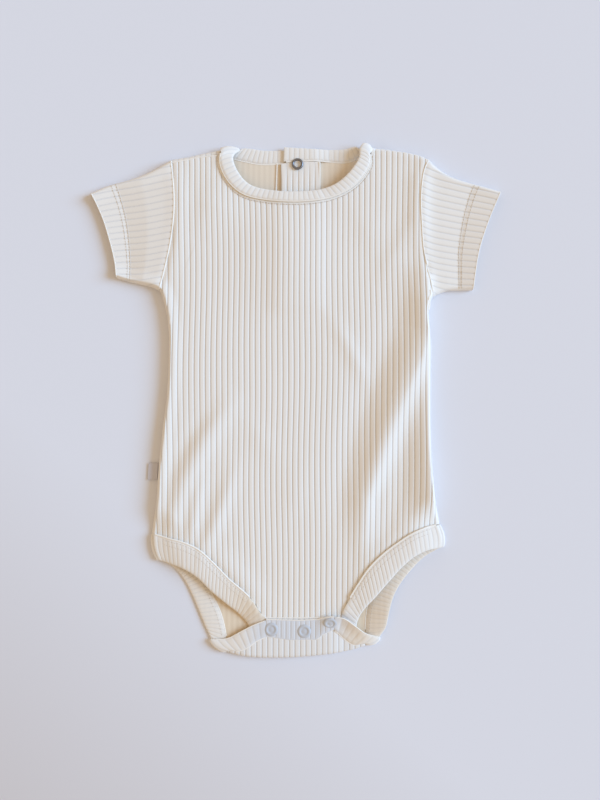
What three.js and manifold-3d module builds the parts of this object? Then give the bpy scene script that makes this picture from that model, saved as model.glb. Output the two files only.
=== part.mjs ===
// A baby's short-sleeved rib-knit bodysuit, laid flat with its front up and its crotch fastened.
// Sizes are in millimetres: +X to the right as the front is seen, +Y to the neck, +Z up from the surface below.
import * as THREE from "three";
import { mergeVertices } from "three/addons/utils/BufferGeometryUtils.js";
import Module from "manifold-3d";

const wasm = await Module();
wasm.setup();
const { Manifold, Mesh } = wasm;

const CLOTH = 1.2; // one layer of rib knit
const BAND = 1.6; // a band folded double
const SEAM = 0.3; // clear space between two pieces
const BUTT = 0.4; // clear space between two edges that meet side by side
const ON_BACK = CLOTH + SEAM; // height of what lies on the back panel
const ROLL = 5; // radius of the rolled outline
const LOFT = 6.9; // height of the front over the hollow body
const EDGE_SWELL = 0.9; // how much higher the cloth stands beside its rolled edge
const CROTCH_HEIGHT = 2.8; // height of the front at its crotch end
const PLATEAU = 0.8; // the back opening's strips show through the front by this much
const RIBS_ACROSS = 49;
const RIB_RISE = 0.7;
const BAND_RIB_RISE = 0.4;
const BAND_RIB_PITCH = 4;
const SLEEVE_RIBS = 20;
const HEM_RISE = 0.5; // the sleeve's turned hem is this much thicker
const HEM_DEPTH = 16;
const FLAP_BOTTOM = 4.2; // underside of the crotch flap
const FLAP_TOP = FLAP_BOTTOM + CLOTH;
const FLAP_BAND = FLAP_TOP + SEAM; // underside of the leg bands on the flap
const SLIT_X = -12; // centre-back opening, where the upper half's edge shows
const SLIT_LOW = 72;
const STRIP_WIDTH = 32;
const STRIP_RIBS = 7;
const SNAP_OUT = 4.7;
const SNAP_IN = 2.8;
const SNAP_HEIGHT = 1.3;

// Outlines, each row a point on the line.
const SIDE_LEFT = [
  { x: -117.9, y: -109.9 },
  { x: -114.2, y: -82 },
  { x: -112.1, y: -53.3 },
  { x: -109.3, y: -26.2 },
  { x: -105.6, y: 4.1 },
  { x: -103.9, y: 32.8 },
  { x: -104.3, y: 59 },
  { x: -107.2, y: 77.1 },
  { x: -110.9, y: 88.6 },
];
const SIDE_RIGHT = [
  { x: 117.5, y: -101.7 },
  { x: 114.2, y: -82 },
  { x: 111.3, y: -53.3 },
  { x: 110.1, y: -24.6 },
  { x: 110.1, y: 12.3 },
  { x: 110.5, y: 41 },
  { x: 109.3, y: 57.4 },
  { x: 108.3, y: 74 },
  { x: 111.6, y: 84 },
];
const ARMHOLE_LEFT = [
  { x: -110.9, y: 88.6 },
  { x: -106.8, y: 105 },
  { x: -102.7, y: 123 },
  { x: -99.8, y: 141 },
  { x: -98.6, y: 159.9 },
  { x: -99.4, y: 177.1 },
  { x: -101.3, y: 196 },
];
const ARMHOLE_RIGHT = [
  { x: 111.6, y: 84 },
  { x: 107.6, y: 102.5 },
  { x: 103.5, y: 122.2 },
  { x: 101.9, y: 141 },
  { x: 101.1, y: 159.9 },
  { x: 101.9, y: 175.5 },
  { x: 104.3, y: 188 },
  { x: 108.4, y: 196.4 },
];
const SLEEVE_TOP_LEFT = [
  { x: -101.3, y: 196 },
  { x: -113.8, y: 189 },
  { x: -123.6, y: 184.1 },
  { x: -135.9, y: 179.6 },
  { x: -152.3, y: 175.1 },
  { x: -167.1, y: 168.9 },
];
const SLEEVE_LOW_LEFT = [
  { x: -110.9, y: 88.6 },
  { x: -116.2, y: 91.4 },
  { x: -125.3, y: 93.9 },
  { x: -135.9, y: 96.4 },
  { x: -145.8, y: 99.2 },
];
const CUFF_LEFT = [
  { x: -145.8, y: 99.2 },
  { x: -147.8, y: 113.2 },
  { x: -151.5, y: 128.7 },
  { x: -156.8, y: 146 },
  { x: -162.2, y: 158.7 },
  { x: -167.1, y: 168.9 },
];
const SLEEVE_TOP_RIGHT = [
  { x: 108.4, y: 196.4 },
  { x: 115, y: 189.8 },
  { x: 123.2, y: 184.1 },
  { x: 134.7, y: 179.2 },
  { x: 151.1, y: 174.7 },
  { x: 167.1, y: 170.2 },
];
const SLEEVE_LOW_RIGHT = [
  { x: 111.6, y: 84 },
  { x: 116.6, y: 86.5 },
  { x: 123.2, y: 88.7 },
  { x: 133, y: 89.4 },
  { x: 144.1, y: 89.4 },
];
const CUFF_RIGHT = [
  { x: 144.1, y: 89.4 },
  { x: 146.2, y: 105 },
  { x: 149, y: 121.4 },
  { x: 154.8, y: 140.2 },
  { x: 160.9, y: 155.8 },
  { x: 167.1, y: 170.2 },
];
const SHOULDER_LEFT = [
  { x: -101.3, y: 196 },
  { x: -86.7, y: 198.4 },
  { x: -74.4, y: 201.3 },
  { x: -62.2, y: 203.8 },
];
const SHOULDER_RIGHT = [
  { x: 65.2, y: 205.2 },
  { x: 77.3, y: 204.2 },
  { x: 89.6, y: 202.5 },
  { x: 100.2, y: 200.1 },
  { x: 108.4, y: 196.4 },
];
// The front panel's top edge: left shoulder seam, the edge that runs under the neckband, right shoulder.
const FRONT_TOP = [
  { x: -101.3, y: 192 },
  { x: -90.8, y: 194 },
  { x: -78.5, y: 196.5 },
  { x: -63.2, y: 198 },
  { x: -61.6, y: 191.5 },
  { x: -57, y: 181.5 },
  { x: -50, y: 173.8 },
  { x: -43, y: 168.9 },
  { x: -25.2, y: 164 },
  { x: 1.8, y: 162.3 },
  { x: 24, y: 164.8 },
  { x: 40.4, y: 170.9 },
  { x: 52.7, y: 180.8 },
  { x: 60.9, y: 190.5 },
  { x: 63.4, y: 198 },
  { x: 65.4, y: 205.1 },
  { x: 77.3, y: 204.2 },
  { x: 89.6, y: 202.5 },
  { x: 100.2, y: 200.1 },
  { x: 108.4, y: 196.4 },
];
// Leg seams on the front and on the back, from the side to the crotch.
const LEG_FRONT_LEFT = [
  { x: -117.9, y: -109.9 },
  { x: -104.8, y: -112.8 },
  { x: -91.6, y: -116 },
  { x: -78.5, y: -122.2 },
  { x: -67, y: -132.8 },
  { x: -53.9, y: -146.4 },
  { x: -42.4, y: -156.2 },
  { x: -34.2, y: -164.8 },
  { x: -28.5, y: -173 },
  { x: -23.5, y: -180 },
];
const LEG_FRONT_RIGHT = [
  { x: 117.5, y: -101.7 },
  { x: 106, y: -104.1 },
  { x: 94.5, y: -108.6 },
  { x: 83, y: -116 },
  { x: 70.7, y: -125.5 },
  { x: 59.2, y: -137.3 },
  { x: 50.2, y: -150.9 },
  { x: 43.7, y: -161.9 },
  { x: 38.5, y: -171.8 },
  { x: 35.6, y: -180 },
];
const LEG_BACK_LEFT = [
  { x: -117.9, y: -109.9 },
  { x: -94.9, y: -121.4 },
  { x: -78.5, y: -140.2 },
  { x: -68.7, y: -159.1 },
  { x: -61.3, y: -176.3 },
  { x: -57.6, y: -193.5 },
  { x: -57.2, y: -205.8 },
];
const LEG_BACK_RIGHT = [
  { x: 117.5, y: -101.7 },
  { x: 93.7, y: -114.8 },
  { x: 75.6, y: -132.8 },
  { x: 64.2, y: -151.7 },
  { x: 58.6, y: -170.6 },
  { x: 57, y: -188.6 },
  { x: 57.6, y: -199.7 },
];
const BACK_NECK = [
  { x: -61.7, y: 203.8 },
  { x: -56.5, y: 201.4 },
  { x: -51.5, y: 199.3 },
  { x: -41.6, y: 195.4 },
  { x: -29.3, y: 193.2 },
  { x: -12.1, y: 193.9 },
  { x: 3.5, y: 195.6 },
  { x: 19.9, y: 195.6 },
  { x: 40.4, y: 194.6 },
  { x: 54.3, y: 199.3 },
  { x: 60, y: 202.6 },
  { x: 64.6, y: 205.4 },
];
const BOTTOM_FOLD = [
  { x: -70.7, y: -196 },
  { x: -63.8, y: -201.7 },
  { x: -53.9, y: -206.2 },
  { x: -37.5, y: -209.3 },
  { x: -8.8, y: -209.9 },
  { x: 19.9, y: -207.9 },
  { x: 44.5, y: -204.2 },
  { x: 60.9, y: -198.9 },
  { x: 69.1, y: -194.8 },
];
const PLACKET_LOW = [
  { x: -24.4, y: -192.3 },
  { x: -4.7, y: -195.2 },
  { x: 16.6, y: -194.8 },
  { x: 22.3, y: -190.4 },
  { x: 31, y: -186.5 },
];
const PLACKET_HIGH = [
  { x: -24.4, y: -178.9 },
  { x: 3.5, y: -179.6 },
  { x: 18.2, y: -178.8 },
  { x: 24.8, y: -176.7 },
  { x: 31, y: -175.8 },
];

// The bands: a row for each place where the seam edge and the free edge are known.
// The heights are those of the band's underside at the two edges.
const NECK_FRONT = [
  { seamX: -61.7, seamY: 203.8, freeX: -52.3, freeY: 206.4 },
  { seamX: -61.3, seamY: 197, freeX: -51.2, freeY: 199.5 },
  { seamX: -60.4, seamY: 190, freeX: -50.6, freeY: 193.5 },
  { seamX: -54.7, seamY: 177.9, freeX: -45.7, freeY: 183.3 },
  { seamX: -43.3, seamY: 167.7, freeX: -37.5, freeY: 175 },
  { seamX: -25.2, seamY: 162.8, freeX: -22.8, freeY: 170.6 },
  { seamX: 1.8, seamY: 161.1, freeX: 1.8, freeY: 169 },
  { seamX: 24, seamY: 163.6, freeX: 20, freeY: 170.9 },
  { seamX: 40.4, seamY: 169.7, freeX: 33.6, freeY: 176 },
  { seamX: 52.7, seamY: 179.6, freeX: 44.6, freeY: 186 },
  { seamX: 60.9, seamY: 191.9, freeX: 51.8, freeY: 197 },
  { seamX: 64.6, seamY: 205.4, freeX: 56.4, freeY: 209.8 },
];
const NECK_BACK_LEFT = [
  { seamX: 12, seamY: 195.8, freeX: 12, freeY: 205.2, low: 0 },
  { seamX: 3.5, seamY: 195.6, freeX: 3.5, freeY: 205.2, low: 0 },
  { seamX: -12.1, seamY: 193.9, freeX: -12.1, freeY: 204.2, low: 0 },
  { seamX: -29.3, seamY: 193.2, freeX: -27, freeY: 203.8, low: 0 },
  { seamX: -41.6, seamY: 195.4, freeX: -38, freeY: 205.2, low: 0 },
  { seamX: -51.5, seamY: 199.3, freeX: -46.5, freeY: 205.6, low: 0 },
  { seamX: -61.7, seamY: 203.8, freeX: -52.3, freeY: 206.4, low: 0 },
];
const NECK_BACK_RIGHT = [
  { seamX: 64.6, seamY: 205.4, freeX: 56.4, freeY: 209.8, low: 0 },
  { seamX: 54.3, seamY: 199.3, freeX: 49.5, freeY: 208.4, low: 0 },
  { seamX: 40.4, seamY: 194.6, freeX: 40.4, freeY: 205.4, low: 0 },
  { seamX: 28, seamY: 195.2, freeX: 28, freeY: 204.8, low: 0 },
  { seamX: 15, seamY: 195.8, freeX: 15, freeY: 205, low: 2.4 },
  { seamX: -10, seamY: 194.6, freeX: -9.5, freeY: 206.4, low: 2.4 },
];
const LEG_LEFT_FRONT = [
  { seamX: -117.9, seamY: -109.9, freeX: -113, freeY: -131.2, seamZ: 2.4, freeZ: 2.4 },
  { seamX: -111.5, seamY: -111.3, freeX: -108.3, freeY: -132, seamZ: 5, freeZ: 2.8 },
  { seamX: -104.8, seamY: -112.8, freeX: -103.1, freeY: -133.2, seamZ: 7.6, freeZ: 3.6 },
  { seamX: -91.6, seamY: -116, freeX: -91.6, freeY: -137.3, seamZ: 7.2, freeZ: 4.4 },
  { seamX: -78.5, seamY: -122.2, freeX: -80.2, freeY: -144.3, seamZ: 6.8, freeZ: 4.4 },
  { seamX: -67, seamY: -132.8, freeX: -68.7, freeY: -155.8, seamZ: 6.3, freeZ: 4 },
  { seamX: -53.9, seamY: -146.4, freeX: -55.6, freeY: -166.9, seamZ: 5.2, freeZ: 3.6 },
  { seamX: -42.4, seamY: -156.2, freeX: -48, freeY: -173.2, seamZ: 4.6, freeZ: 3 },
  { seamX: -34.2, seamY: -164.8, freeX: -44, freeY: -177.5, seamZ: 3.9, freeZ: 2.4 },
  { seamX: -28.5, seamY: -173, freeX: -40.5, freeY: -181.5, seamZ: 3.3, freeZ: 2 },
  { seamX: -26.5, seamY: -181.5, freeX: -40, freeY: -186, seamZ: 3, freeZ: 1.8 },
  { seamX: -26, seamY: -190, freeX: -40, freeY: -191, seamZ: 1.6, freeZ: 1.6 },
];
const LEG_LEFT_BACK = [
  { seamX: -117.9, seamY: -109.9, freeX: -113, freeY: -131.2, seamZ: 0, freeZ: 0 },
  { seamX: -94.9, seamY: -121.4, freeX: -101.5, freeY: -135.8, seamZ: 0, freeZ: 0 },
  { seamX: -78.5, seamY: -140.2, freeX: -91.6, freeY: -147, seamZ: 0, freeZ: 0 },
  { seamX: -68.7, seamY: -159.1, freeX: -84, freeY: -162, seamZ: 0, freeZ: 0 },
  { seamX: -61.3, seamY: -176.3, freeX: -77.5, freeY: -178, seamZ: 0, freeZ: 0 },
  { seamX: -57.6, seamY: -193.5, freeX: -73, freeY: -189, seamZ: 0, freeZ: 0 },
  { seamX: -57.2, seamY: -205.8, freeX: -70.7, freeY: -196, seamZ: 0, freeZ: 0 },
];
const LEG_LEFT_FLAP = [
  { seamX: -57.2, seamY: -205.8, freeX: -70.7, freeY: -196, seamZ: FLAP_BAND, freeZ: FLAP_BAND },
  { seamX: -47.4, seamY: -204.6, freeX: -57, freeY: -194.6, seamZ: FLAP_BAND, freeZ: FLAP_BAND },
  { seamX: -39.2, seamY: -201.3, freeX: -44.5, freeY: -188, seamZ: FLAP_BAND, freeZ: FLAP_BAND },
  { seamX: -31.8, seamY: -195.6, freeX: -34.2, freeY: -182.9, seamZ: FLAP_BAND, freeZ: FLAP_BAND },
  { seamX: -25.3, seamY: -192.3, freeX: -25.3, freeY: -179.2, seamZ: FLAP_BAND, freeZ: FLAP_BAND },
];
const LEG_RIGHT_FRONT = [
  { seamX: 117.5, seamY: -101.7, freeX: 120.7, freeY: -120.1, seamZ: 2.4, freeZ: 2.4 },
  { seamX: 112, seamY: -102.8, freeX: 114.5, freeY: -121, seamZ: 5, freeZ: 2.8 },
  { seamX: 106, seamY: -104.1, freeX: 108.4, freeY: -121.8, seamZ: 7.8, freeZ: 3.6 },
  { seamX: 94.5, seamY: -108.6, freeX: 97.8, freeY: -125.9, seamZ: 7.5, freeZ: 4.4 },
  { seamX: 83, seamY: -116, freeX: 87.1, freeY: -134.1, seamZ: 7.1, freeZ: 4.4 },
  { seamX: 70.7, seamY: -125.5, freeX: 75.6, freeY: -146.8, seamZ: 7.4, freeZ: 4.4 },
  { seamX: 59.2, seamY: -137.3, freeX: 64.2, freeY: -160.3, seamZ: 7, freeZ: 4 },
  { seamX: 50.2, seamY: -150.9, freeX: 56, freeY: -169.6, seamZ: 5.2, freeZ: 3.2 },
  { seamX: 43.7, seamY: -161.9, freeX: 52, freeY: -176, seamZ: 4.3, freeZ: 2.6 },
  { seamX: 38.5, seamY: -171.8, freeX: 50, freeY: -181.5, seamZ: 3.5, freeZ: 2 },
  { seamX: 35.6, seamY: -181.5, freeX: 49.5, freeY: -186, seamZ: 3, freeZ: 1.8 },
  { seamX: 35, seamY: -190, freeX: 49.5, freeY: -191, seamZ: 1.6, freeZ: 1.6 },
];
const LEG_RIGHT_BACK = [
  { seamX: 117.5, seamY: -101.7, freeX: 120.7, freeY: -120.1, seamZ: 0, freeZ: 0 },
  { seamX: 93.7, seamY: -114.8, freeX: 106.5, freeY: -127.5, seamZ: 0, freeZ: 0 },
  { seamX: 75.6, seamY: -132.8, freeX: 91, freeY: -142.5, seamZ: 0, freeZ: 0 },
  { seamX: 64.2, seamY: -151.7, freeX: 80.6, freeY: -157.8, seamZ: 0, freeZ: 0 },
  { seamX: 58.6, seamY: -170.6, freeX: 76, freeY: -173, seamZ: 0, freeZ: 0 },
  { seamX: 57, seamY: -188.6, freeX: 73.2, freeY: -186.5, seamZ: 0, freeZ: 0 },
  { seamX: 57.6, seamY: -199.7, freeX: 69.1, freeY: -194.8, seamZ: 0, freeZ: 0 },
];
const LEG_RIGHT_FLAP = [
  { seamX: 57.6, seamY: -199.7, freeX: 69.1, freeY: -194.8, seamZ: FLAP_BAND, freeZ: FLAP_BAND },
  { seamX: 47.5, seamY: -201, freeX: 58, freeY: -188.4, seamZ: FLAP_BAND, freeZ: FLAP_BAND },
  { seamX: 40.6, seamY: -196.8, freeX: 49.5, freeY: -182.8, seamZ: FLAP_BAND, freeZ: FLAP_BAND },
  { seamX: 35.5, seamY: -190.8, freeX: 41, freeY: -177.6, seamZ: FLAP_BAND + 0.6, freeZ: FLAP_BAND + 0.6 },
  { seamX: 31.8, seamY: -186, freeX: 34, freeY: -175.7, seamZ: FLAP_BAND + 1.2, freeZ: FLAP_BAND + 1.2 },
];

// The largest folds of the front, a row for each point of a crest.
// Rise is the crest's height there, left and right are how far its two slopes reach.
const FOLDS = [
  { fold: "long", x: 107, y: 78, rise: 0, left: 8, right: 6 },
  { fold: "long", x: 101, y: 48, rise: 1.6, left: 11, right: 7 },
  { fold: "long", x: 85.5, y: 14, rise: 2.8, left: 13, right: 9 },
  { fold: "long", x: 68.5, y: -33, rise: 3, left: 13, right: 10 },
  { fold: "long", x: 58.5, y: -82, rise: 2.4, left: 13, right: 10 },
  { fold: "long", x: 55, y: -124, rise: 0.6, left: 10, right: 8 },
  { fold: "corner", x: -45.7, y: 20, rise: 0, left: 9, right: 9 },
  { fold: "corner", x: -60.5, y: -16, rise: 1.6, left: 10, right: 10 },
  { fold: "corner", x: -78.5, y: -45, rise: 2.1, left: 11, right: 9 },
  { fold: "corner", x: -91.6, y: -78, rise: 1.8, left: 10, right: 9 },
  { fold: "corner", x: -101, y: -104, rise: 0.6, left: 8, right: 8 },
  { fold: "short", x: -70, y: -58, rise: 0, left: 7, right: 8 },
  { fold: "short", x: -76, y: -88, rise: 1.4, left: 8, right: 8 },
  { fold: "short", x: -76, y: -114, rise: 0.5, left: 8, right: 8 },
  { fold: "edge", x: 108, y: 24, rise: 0, left: 9, right: 9 },
  { fold: "edge", x: 106, y: -25, rise: 1.8, left: 9, right: 9 },
  { fold: "edge", x: 107, y: -66, rise: 2, left: 10, right: 9 },
  { fold: "edge", x: 110, y: -98, rise: 0.8, left: 9, right: 9 },
  { fold: "armhole", x: 106, y: 198, rise: 0.4, left: 6, right: 6 },
  { fold: "armhole", x: 101.5, y: 172, rise: 2, left: 10, right: 8 },
  { fold: "armhole", x: 101, y: 130, rise: 1.6, left: 9, right: 7 },
  { fold: "armhole", x: 107, y: 98, rise: 0, left: 7, right: 6 },
  { fold: "crease", x: 36, y: 60, rise: 0, left: 9, right: 7 },
  { fold: "crease", x: 46, y: 33, rise: 0.9, left: 9, right: 7 },
  { fold: "crease", x: 60, y: -2, rise: 0, left: 9, right: 7 },
  { fold: "leg", x: -66, y: -118, rise: 0, left: 8, right: 8 },
  { fold: "leg", x: -48, y: -138, rise: 0.9, left: 8, right: 8 },
  { fold: "leg", x: -30, y: -158, rise: 0, left: 8, right: 8 },
];

const clamp = (value, low, high) => Math.min(high, Math.max(low, value));
const mix = (a, b, part) => a + (b - a) * part;

// 0 below `from`, 1 above `to`, and a smooth curve between them.
function ease(value, from, to) {
  const part = clamp((value - from) / (to - from), 0, 1);
  return part * part * (3 - 2 * part);
}

// The value of column `out` where column `key` has the value given, along the rows of a table.
function lookUp(rows, key, out, value) {
  const order = rows[0][key] < rows[rows.length - 1][key] ? rows : [...rows].reverse();
  if (value <= order[0][key]) return order[0][out];
  for (let i = 1; i < order.length; i += 1) {
    const before = order[i - 1];
    const after = order[i];
    if (value <= after[key]) {
      return mix(before[out], after[out], (value - before[key]) / (after[key] - before[key]));
    }
  }
  return order[order.length - 1][out];
}

// A smooth curve through the rows' points; its getPointAt goes by length along it.
function curveOf(rows) {
  const points = rows.map((row) => new THREE.Vector3(row.x, row.y, 0));
  const curve = new THREE.CatmullRomCurve3(points, false, "centripetal");
  curve.arcLengthDivisions = 400;
  return curve;
}

// A table's lines made dense, so that two pieces which follow one line keep their distance.
function dense(rows, steps) {
  return curveOf(rows)
    .getSpacedPoints(steps)
    .map((point) => ({ x: point.x, y: point.y }));
}

const SIDE_LEFT_LINE = dense(SIDE_LEFT, 40);
const SIDE_RIGHT_LINE = dense(SIDE_RIGHT, 40);
const ARMHOLE_LEFT_LINE = dense(ARMHOLE_LEFT, 30);
const ARMHOLE_RIGHT_LINE = dense(ARMHOLE_RIGHT, 30);
const ROLLED = [
  SIDE_LEFT_LINE,
  SIDE_RIGHT_LINE,
  dense(SLEEVE_TOP_LEFT, 16),
  dense(SLEEVE_LOW_LEFT, 10),
  dense(SLEEVE_TOP_RIGHT, 16),
  dense(SLEEVE_LOW_RIGHT, 10),
  SHOULDER_LEFT,
  SHOULDER_RIGHT,
];

// The nearest place on a line to (x, y): how far off it is, on which side, and where along the line.
function nearest(rows, x, y) {
  let best = { distance: Infinity, side: 1, index: 0, part: 0 };
  for (let i = 1; i < rows.length; i += 1) {
    const ax = rows[i - 1].x;
    const ay = rows[i - 1].y;
    const dx = rows[i].x - ax;
    const dy = rows[i].y - ay;
    const part = clamp(((x - ax) * dx + (y - ay) * dy) / (dx * dx + dy * dy), 0, 1);
    const offX = x - ax - part * dx;
    const offY = y - ay - part * dy;
    const distance = Math.hypot(offX, offY);
    if (distance < best.distance) {
      best = { distance, side: Math.sign(dx * offY - dy * offX) || 1, index: i, part };
    }
  }
  return best;
}

// How far (x, y) lies inside the garment's rolled outline.
function edgeDistance(x, y) {
  return Math.min(...ROLLED.map((rows) => nearest(rows, x, y).distance));
}

const FOLD_NAMES = [...new Set(FOLDS.map((row) => row.fold))];
const FOLD_LINES = FOLD_NAMES.map((name) => FOLDS.filter((row) => row.fold === name));

// The height that the folds add: each crest falls off to both sides as exp(-(distance / reach)^2).
function foldHeight(x, y) {
  let height = 0;
  for (const rows of FOLD_LINES) {
    const at = nearest(rows, x, y);
    const before = rows[at.index - 1];
    const after = rows[at.index];
    const rise = mix(before.rise, after.rise, at.part);
    // every crest runs down the garment, so the line's left-hand side is the garment's right
    const reach = at.side > 0 ? mix(before.right, after.right, at.part) : mix(before.left, after.left, at.part);
    height += rise * Math.exp(-((at.distance / reach) ** 2));
  }
  return height;
}

// Height of the upper cloth's outer face where it isn't rolled down.
const FLAT_AT_CROTCH = -185; // below this y the front lies at the crotch's height
const FULL_LOFT = -112; // above it the body has its whole loft
const STRIP_RIGHT = SLIT_X + STRIP_WIDTH;
function loft(x, y, edge) {
  const body = ease(y, FLAT_AT_CROTCH, FULL_LOFT);
  // the swell rises 2 to 6 mm from the edge and dies out between 8 and 26 mm
  const swell = EDGE_SWELL * ease(edge, 2, 6) * (1 - ease(edge, 8, 26));
  // the strips below stand out as a plateau, with short slopes at its two sides and its lower end
  const acrossStrip = ease(x, SLIT_X - 5, SLIT_X) * (1 - ease(x, STRIP_RIGHT, STRIP_RIGHT + 3));
  const alongStrip = ease(y, SLIT_LOW - 5, SLIT_LOW + 6);
  const high = LOFT + swell + foldHeight(x, y) + PLATEAU * acrossStrip * alongStrip;
  return mix(CROTCH_HEIGHT, high, body);
}

const quarter = (part) => Math.sqrt(1 - (1 - clamp(part, 0, 1)) ** 2);

// The upper cloth's outer face: it rises from the back panel round a quarter of an ellipse.
function outerHeight(x, y) {
  const edge = edgeDistance(x, y);
  return ON_BACK + (loft(x, y, edge) - ON_BACK) * quarter(edge / ROLL);
}

// Its inner face, one cloth further in.
function innerHeight(x, y) {
  const edge = edgeDistance(x, y);
  return ON_BACK + (loft(x, y, edge) - CLOTH - ON_BACK) * quarter((edge - CLOTH) / (ROLL - CLOTH));
}

// A mesh under construction: numbered points and triangles.
function newBody() {
  return { points: [], faces: [] };
}

function addPoint(body, point) {
  body.points.push(point);
  return body.points.length - 1;
}

// Fills between two rows of points whose places along the row are in `alongA` and `alongB`.
function zip(body, rowA, alongA, rowB, alongB, turned) {
  let a = 0;
  let b = 0;
  while (a < rowA.length - 1 || b < rowB.length - 1) {
    const nextA = a < rowA.length - 1 ? alongA[a + 1] : Infinity;
    const nextB = b < rowB.length - 1 ? alongB[b + 1] : Infinity;
    let face;
    if (nextA <= nextB) {
      face = [rowA[a], rowA[a + 1], rowB[b]];
      a += 1;
    } else {
      face = [rowA[a], rowB[b + 1], rowB[b]];
      b += 1;
    }
    body.faces.push(turned ? face.reverse() : face);
  }
}

// A sheet with an outer and an inner face, each a grid of its own over 0..1 by 0..1, closed round its rim.
function sheet({ outer, inner, outerU, outerV, innerU, innerV }) {
  const body = newBody();
  const gridOf = (place, across, along) =>
    along.map((v, j) => across.map((u, i) => addPoint(body, place(u, v, i, j))));
  const top = gridOf(outer, outerU, outerV);
  const low = gridOf(inner, innerU, innerV);
  const fill = (grid, turned) => {
    for (let j = 1; j < grid.length; j += 1) {
      for (let i = 1; i < grid[0].length; i += 1) {
        const [a, b, c, d] = [grid[j - 1][i - 1], grid[j - 1][i], grid[j][i], grid[j][i - 1]];
        body.faces.push(turned ? [a, c, b] : [a, b, c], turned ? [a, d, c] : [a, c, d]);
      }
    }
  };
  fill(top, false);
  fill(low, true);
  const column = (grid, i) => grid.map((row) => row[i]);
  zip(body, top[0], outerU, low[0], innerU, true);
  zip(body, top[top.length - 1], outerU, low[low.length - 1], innerU, false);
  zip(body, column(top, 0), outerV, column(low, 0), innerV, false);
  zip(body, column(top, outerU.length - 1), outerV, column(low, innerU.length - 1), innerV, true);
  return body;
}

// A tube whose rings are closed, with an outer and an inner face and an open mouth at each end.
function tube({ outer, inner, outerRing, innerRing, stations }) {
  const body = newBody();
  const ringsOf = (place, ring) => stations.map((s) => ring.map((a, i) => addPoint(body, place(s, a, i))));
  const outside = ringsOf(outer, outerRing);
  const inside = ringsOf(inner, innerRing);
  const fill = (rings, turned) => {
    for (let j = 1; j < rings.length; j += 1) {
      for (let i = 0; i < rings[0].length; i += 1) {
        const n = (i + 1) % rings[0].length;
        const [a, b, c, d] = [rings[j - 1][i], rings[j - 1][n], rings[j][n], rings[j][i]];
        body.faces.push(turned ? [a, c, b] : [a, b, c], turned ? [a, d, c] : [a, c, d]);
      }
    }
  };
  fill(outside, false);
  fill(inside, true);
  const closed = (ring, around) => [[...ring, ring[0]], [...around, 2]];
  for (const j of [0, stations.length - 1]) {
    const [ringA, alongA] = closed(outside[j], outerRing);
    const [ringB, alongB] = closed(inside[j], innerRing);
    zip(body, ringA, alongA, ringB, alongB, j === 0);
  }
  return body;
}

// A strip through sections of the same number of points each, its two ends closed.
function strip(sections) {
  const body = newBody();
  const rings = sections.map((section) => section.map((point) => addPoint(body, point)));
  const count = rings[0].length;
  for (let j = 1; j < rings.length; j += 1) {
    for (let i = 0; i < count; i += 1) {
      const n = (i + 1) % count;
      const [a, b, c, d] = [rings[j - 1][i], rings[j - 1][n], rings[j][n], rings[j][i]];
      body.faces.push([a, b, c], [a, c, d]);
    }
  }
  // an end is closed between each point and the one that faces it across the section
  const [first, final] = [rings[0], rings[rings.length - 1]];
  for (let i = 0; i < count / 2 - 1; i += 1) {
    const k = count - 1 - i;
    body.faces.push([first[i], first[k], first[k - 1]], [first[i], first[k - 1], first[i + 1]]);
    body.faces.push([final[i], final[k - 1], final[k]], [final[i], final[i + 1], final[k - 1]]);
  }
  return body;
}

// Six times the signed volume within a body's faces: it is negative where they look inwards.
function signedVolume({ points, faces }) {
  return faces.reduce((sum, [a, b, c]) => {
    const [p, q, r] = [a, b, c].map((index) => new THREE.Vector3(...points[index]));
    return sum + p.dot(q.cross(r));
  }, 0);
}

function geometryOf(body) {
  const outwards = signedVolume(body) > 0 ? body.faces : body.faces.map(([a, b, c]) => [a, c, b]);
  const geometry = new THREE.BufferGeometry();
  geometry.setAttribute("position", new THREE.Float32BufferAttribute(body.points.flat(), 3));
  geometry.setIndex(outwards.flat());
  return geometry;
}

// A closed geometry as a solid that can be joined to another.
function solidOf(geometry) {
  const bare = geometry.index ? geometry.toNonIndexed() : geometry.clone();
  bare.deleteAttribute("normal");
  bare.deleteAttribute("uv");
  const merged = mergeVertices(bare, 1e-4);
  const vertProperties = merged.attributes.position.array;
  const triVerts = new Uint32Array(merged.index.array);
  return new Manifold(new Mesh({ numProp: 3, vertProperties, triVerts }));
}

// Several closed geometries joined into one.
function joined(geometries) {
  const [first, ...others] = geometries.map(solidOf);
  const { vertProperties, triVerts } = others.reduce((sum, solid) => sum.add(solid), first).getMesh();
  const geometry = new THREE.BufferGeometry();
  geometry.setAttribute("position", new THREE.Float32BufferAttribute(vertProperties, 3));
  geometry.setIndex(new THREE.Uint32BufferAttribute(triVerts, 1));
  return geometry;
}

// Leaves out the corners of a line that lie less than `tolerance` off the line between their neighbours.
function thinned(corners, tolerance) {
  if (corners.length < 3) return corners;
  const ends = [corners[0], corners[corners.length - 1]].map(([x, y]) => ({ x, y }));
  const off = corners.map(([x, y]) => nearest(ends, x, y).distance);
  const far = off.indexOf(Math.max(...off));
  if (off[far] < tolerance) return [corners[0], corners[corners.length - 1]];
  return [...thinned(corners.slice(0, far + 1), tolerance), ...thinned(corners.slice(far), tolerance).slice(1)];
}

function shapeOf(corners) {
  return new THREE.Shape(corners.map(([x, y]) => new THREE.Vector2(x, y)));
}

const group = new THREE.Group();
group.name = "bodysuit";
const cream = new THREE.MeshStandardMaterial({ color: 0xe9e4dc, roughness: 0.9 });
const pale = new THREE.MeshStandardMaterial({ color: 0xd8d2c8, roughness: 0.45, metalness: 0.3 });
const metal = new THREE.MeshStandardMaterial({ color: 0x8a8680, roughness: 0.4, metalness: 0.8 });

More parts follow.
